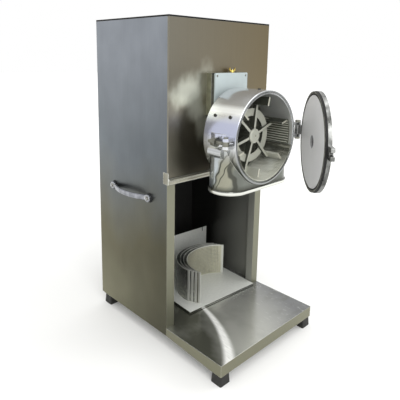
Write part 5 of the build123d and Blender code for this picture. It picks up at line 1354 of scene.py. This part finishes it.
class MILL_OT_threads(Operator):
    """Model the threads of the swing bolt and of the feed gate's stud"""

    bl_idname = "mill.threads"
    bl_label = "Threads"

    # Share of the swing bolt's length that is threaded.
    threaded = 0.68

    def execute(self, context):
        tones = context.scene.mill_colours
        sizes = context.scene.mill_sizes
        # Cut thread steel: grey, with bright crests.
        steel = finish(
            "Cut thread steel", tones.bolt, metallic=1.0, rough=0.3, patch=6, grit=0.6, contrast=0.15,
            edge=0.2, bare=tones.bare,
        )
        low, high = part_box("swing_bolt")
        middle = (low + high) / 2
        run = self.threaded * (high.y - low.y)
        ridge = thread("swing_bolt_thread", sizes.swing_rod, sizes.thread_crest, sizes.thread_pitch, run)
        ridge = spread(ridge, [Matrix.Translation((middle.x, high.y - run, middle.z)) @ TO_BACK])
        hand_over(ridge, "latch", steel)
        low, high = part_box("wing_nut")
        middle = (low + high) / 2
        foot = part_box("feed_gate")[1].z - sizes.stud_run
        ridge = thread(
            "feed_gate_thread", sizes.stud_rod, sizes.thread_crest, sizes.thread_pitch, sizes.stud_run
        )
        ridge = spread(ridge, [Matrix.Translation((middle.x, middle.y, foot))])
        hand_over(ridge, "gate", steel)
        return {"FINISHED"}


class MILL_OT_studio(Operator):
    """Set up the floor, the lights and the camera"""

    bl_idname = "mill.studio"
    bl_label = "Studio"

    sensor_width = 36
    # The floor is this wide, and glows more from the one distance to the other, in metres.
    floor_width = 40
    floor_fade = (0.8, 3.0)
    # Soft lamps: name, place and width in metres, the setting that holds the power.
    lamps = (
        ("Key", (-1.3, -2.3, 2.3), 1.6, "key_power"),
        ("Fill", (2.4, -1.6, 1.5), 1.8, "fill_power"),
        ("Top", (0.0, 0.0, 3.2), 2.0, "top_power"),
    )

    def execute(self, context):
        scene = context.scene
        look = scene.mill_studio
        scene.view_settings.view_transform = "Standard"
        camera = bpy.data.objects.new("Camera", bpy.data.cameras.new("Camera"))
        scene.collection.objects.link(camera)
        place = Vector((
            CABINET_LEFT + look.camera_right, CABINET_FRONT + look.camera_back, BASE_TOP + look.camera_up
        ))
        turn = Matrix.Rotation(-look.camera_turn, 4, "Z")
        tilt = Matrix.Rotation(pi / 2 - look.camera_tilt, 4, "X")
        roll = Matrix.Rotation(look.camera_roll, 4, "Z")
        camera.matrix_world = Matrix.Translation(place) @ turn @ tilt @ roll
        camera.data.lens = look.lens
        camera.data.sensor_width = self.sensor_width
        camera.data.shift_y = look.shift
        scene.camera = camera
        self.floor(look)
        self.world(scene)
        for name, spot, width, setting in self.lamps:
            self.lamp(scene, name, Vector(spot), width, getattr(look, setting))
        # The front panel would mirror the fill light straight into the view, so it only gives soft light.
        scene.objects["Fill"].visible_glossy = False
        return {"FINISHED"}

    def seen(self, tree):
        """Where the background is seen, straight or in a mirror or through glass."""
        rays = add(tree, "LightPath", output=None)
        seen = rays["Is Camera Ray"]
        for kind in ("Is Glossy Ray", "Is Transmission Ray"):
            seen = add(tree, "Math", LARGER, i0=seen, i1=rays[kind])
        return seen

    def floor(self, look):
        """Lay a floor that is pale near the object, so that its shadow shows, and white far off."""
        bpy.ops.object.select_all(action="DESELECT")
        bpy.ops.mesh.primitive_plane_add(size=self.floor_width)
        floor = bpy.context.object
        floor.name = "Floor"
        # Matt studio floor: even and pale, with hardly visible clouds.
        material, tree, shader, place = begin("Matt studio floor", metallic=0.0, roughness=0.9)
        cloud = mottle(tree, place, (900, 900, 900), detail=2.0)
        tone = lay(tree, look.floor_colour, (cloud, shade(look.floor_colour, 0.98)))
        away = add(tree, "VectorMath", {"operation": "LENGTH"}, "Value", i0=place)
        white = add(tree, "MapRange", Value=away, From=self.floor_fade, To=(0.1, 0.4))
        glow = add(tree, "Math", TIMES, i0=self.seen(tree), i1=white)
        paint(tree, shader, Base_Color=tone, Emission_Strength=glow)
        shader.inputs["Emission Color"].default_value = (1, 1, 1, 1)
        floor.data.materials.append(material)

    def world(self, scene):
        """Surround the scene with an even white that is a little stronger where it is seen."""
        world = bpy.data.worlds.new("Studio")
        scene.world = world
        world.use_nodes = True
        tree = world.node_tree
        tree.nodes.clear()
        level = add(tree, "MapRange", Value=self.seen(tree), To=(0.95, 1.0))
        back = add(tree, "Background", Color=(1, 1, 1, 1), Strength=level)
        output = tree.nodes.new("ShaderNodeOutputWorld")
        tree.links.new(back, output.inputs["Surface"])

    def lamp(self, scene, name, place, width, watts):
        """Hang a soft lamp that points at the middle of the object."""
        data = bpy.data.lights.new(name, "AREA")
        data.energy = watts
        data.size = width
        lamp = bpy.data.objects.new(name, data)
        scene.collection.objects.link(lamp)
        lamp.location = place
        lamp.rotation_mode = "QUATERNION"
        aim = (CAD_BOX[0] + CAD_BOX[1]) / 2
        lamp.rotation_quaternion = (aim - place).to_track_quat("-Z", "Y")


class MILL_PT_panel(Panel):
    """Flour mill"""

    bl_idname = "MILL_PT_panel"
    bl_label = "Flour mill"
    bl_space_type = "VIEW_3D"
    bl_region_type = "UI"
    bl_category = "Flour mill"

    def draw(self, context):
        """List the operators and the settings."""
        scene = context.scene
        for operator in OPERATORS:
            self.layout.operator(operator.bl_idname)
        for group in (scene.mill_colours, scene.mill_sizes, scene.mill_studio):
            for name in group.__annotations__:
                self.layout.prop(group, name)


OPERATORS = (
    MILL_OT_cabinet,
    MILL_OT_rubber,
    MILL_OT_mill,
    MILL_OT_motor,
    MILL_OT_screens,
    MILL_OT_screws,
    MILL_OT_washers,
    MILL_OT_threads,
    MILL_OT_studio,
)
CLASSES = (MillColours, MillSizes, StudioSettings, *OPERATORS, MILL_PT_panel)


def register():
    """Register the classes and the settings of the scene."""
    for cls in CLASSES:
        bpy.utils.register_class(cls)
    bpy.types.Scene.mill_colours = PointerProperty(type=MillColours)
    bpy.types.Scene.mill_sizes = PointerProperty(type=MillSizes)
    bpy.types.Scene.mill_studio = PointerProperty(type=StudioSettings)


def unregister():
    """Take the settings and the classes back."""
    del bpy.types.Scene.mill_studio
    del bpy.types.Scene.mill_sizes
    del bpy.types.Scene.mill_colours
    for cls in reversed(CLASSES):
        bpy.utils.unregister_class(cls)


def main():
    """Dress and light the mill."""
    register()
    bpy.ops.mill.cabinet()
    bpy.ops.mill.rubber()
    bpy.ops.mill.mill()
    bpy.ops.mill.motor()
    bpy.ops.mill.screens()
    bpy.ops.mill.screws()
    bpy.ops.mill.washers()
    bpy.ops.mill.threads()
    bpy.ops.mill.studio()


if __name__ == "__main__":
    main()
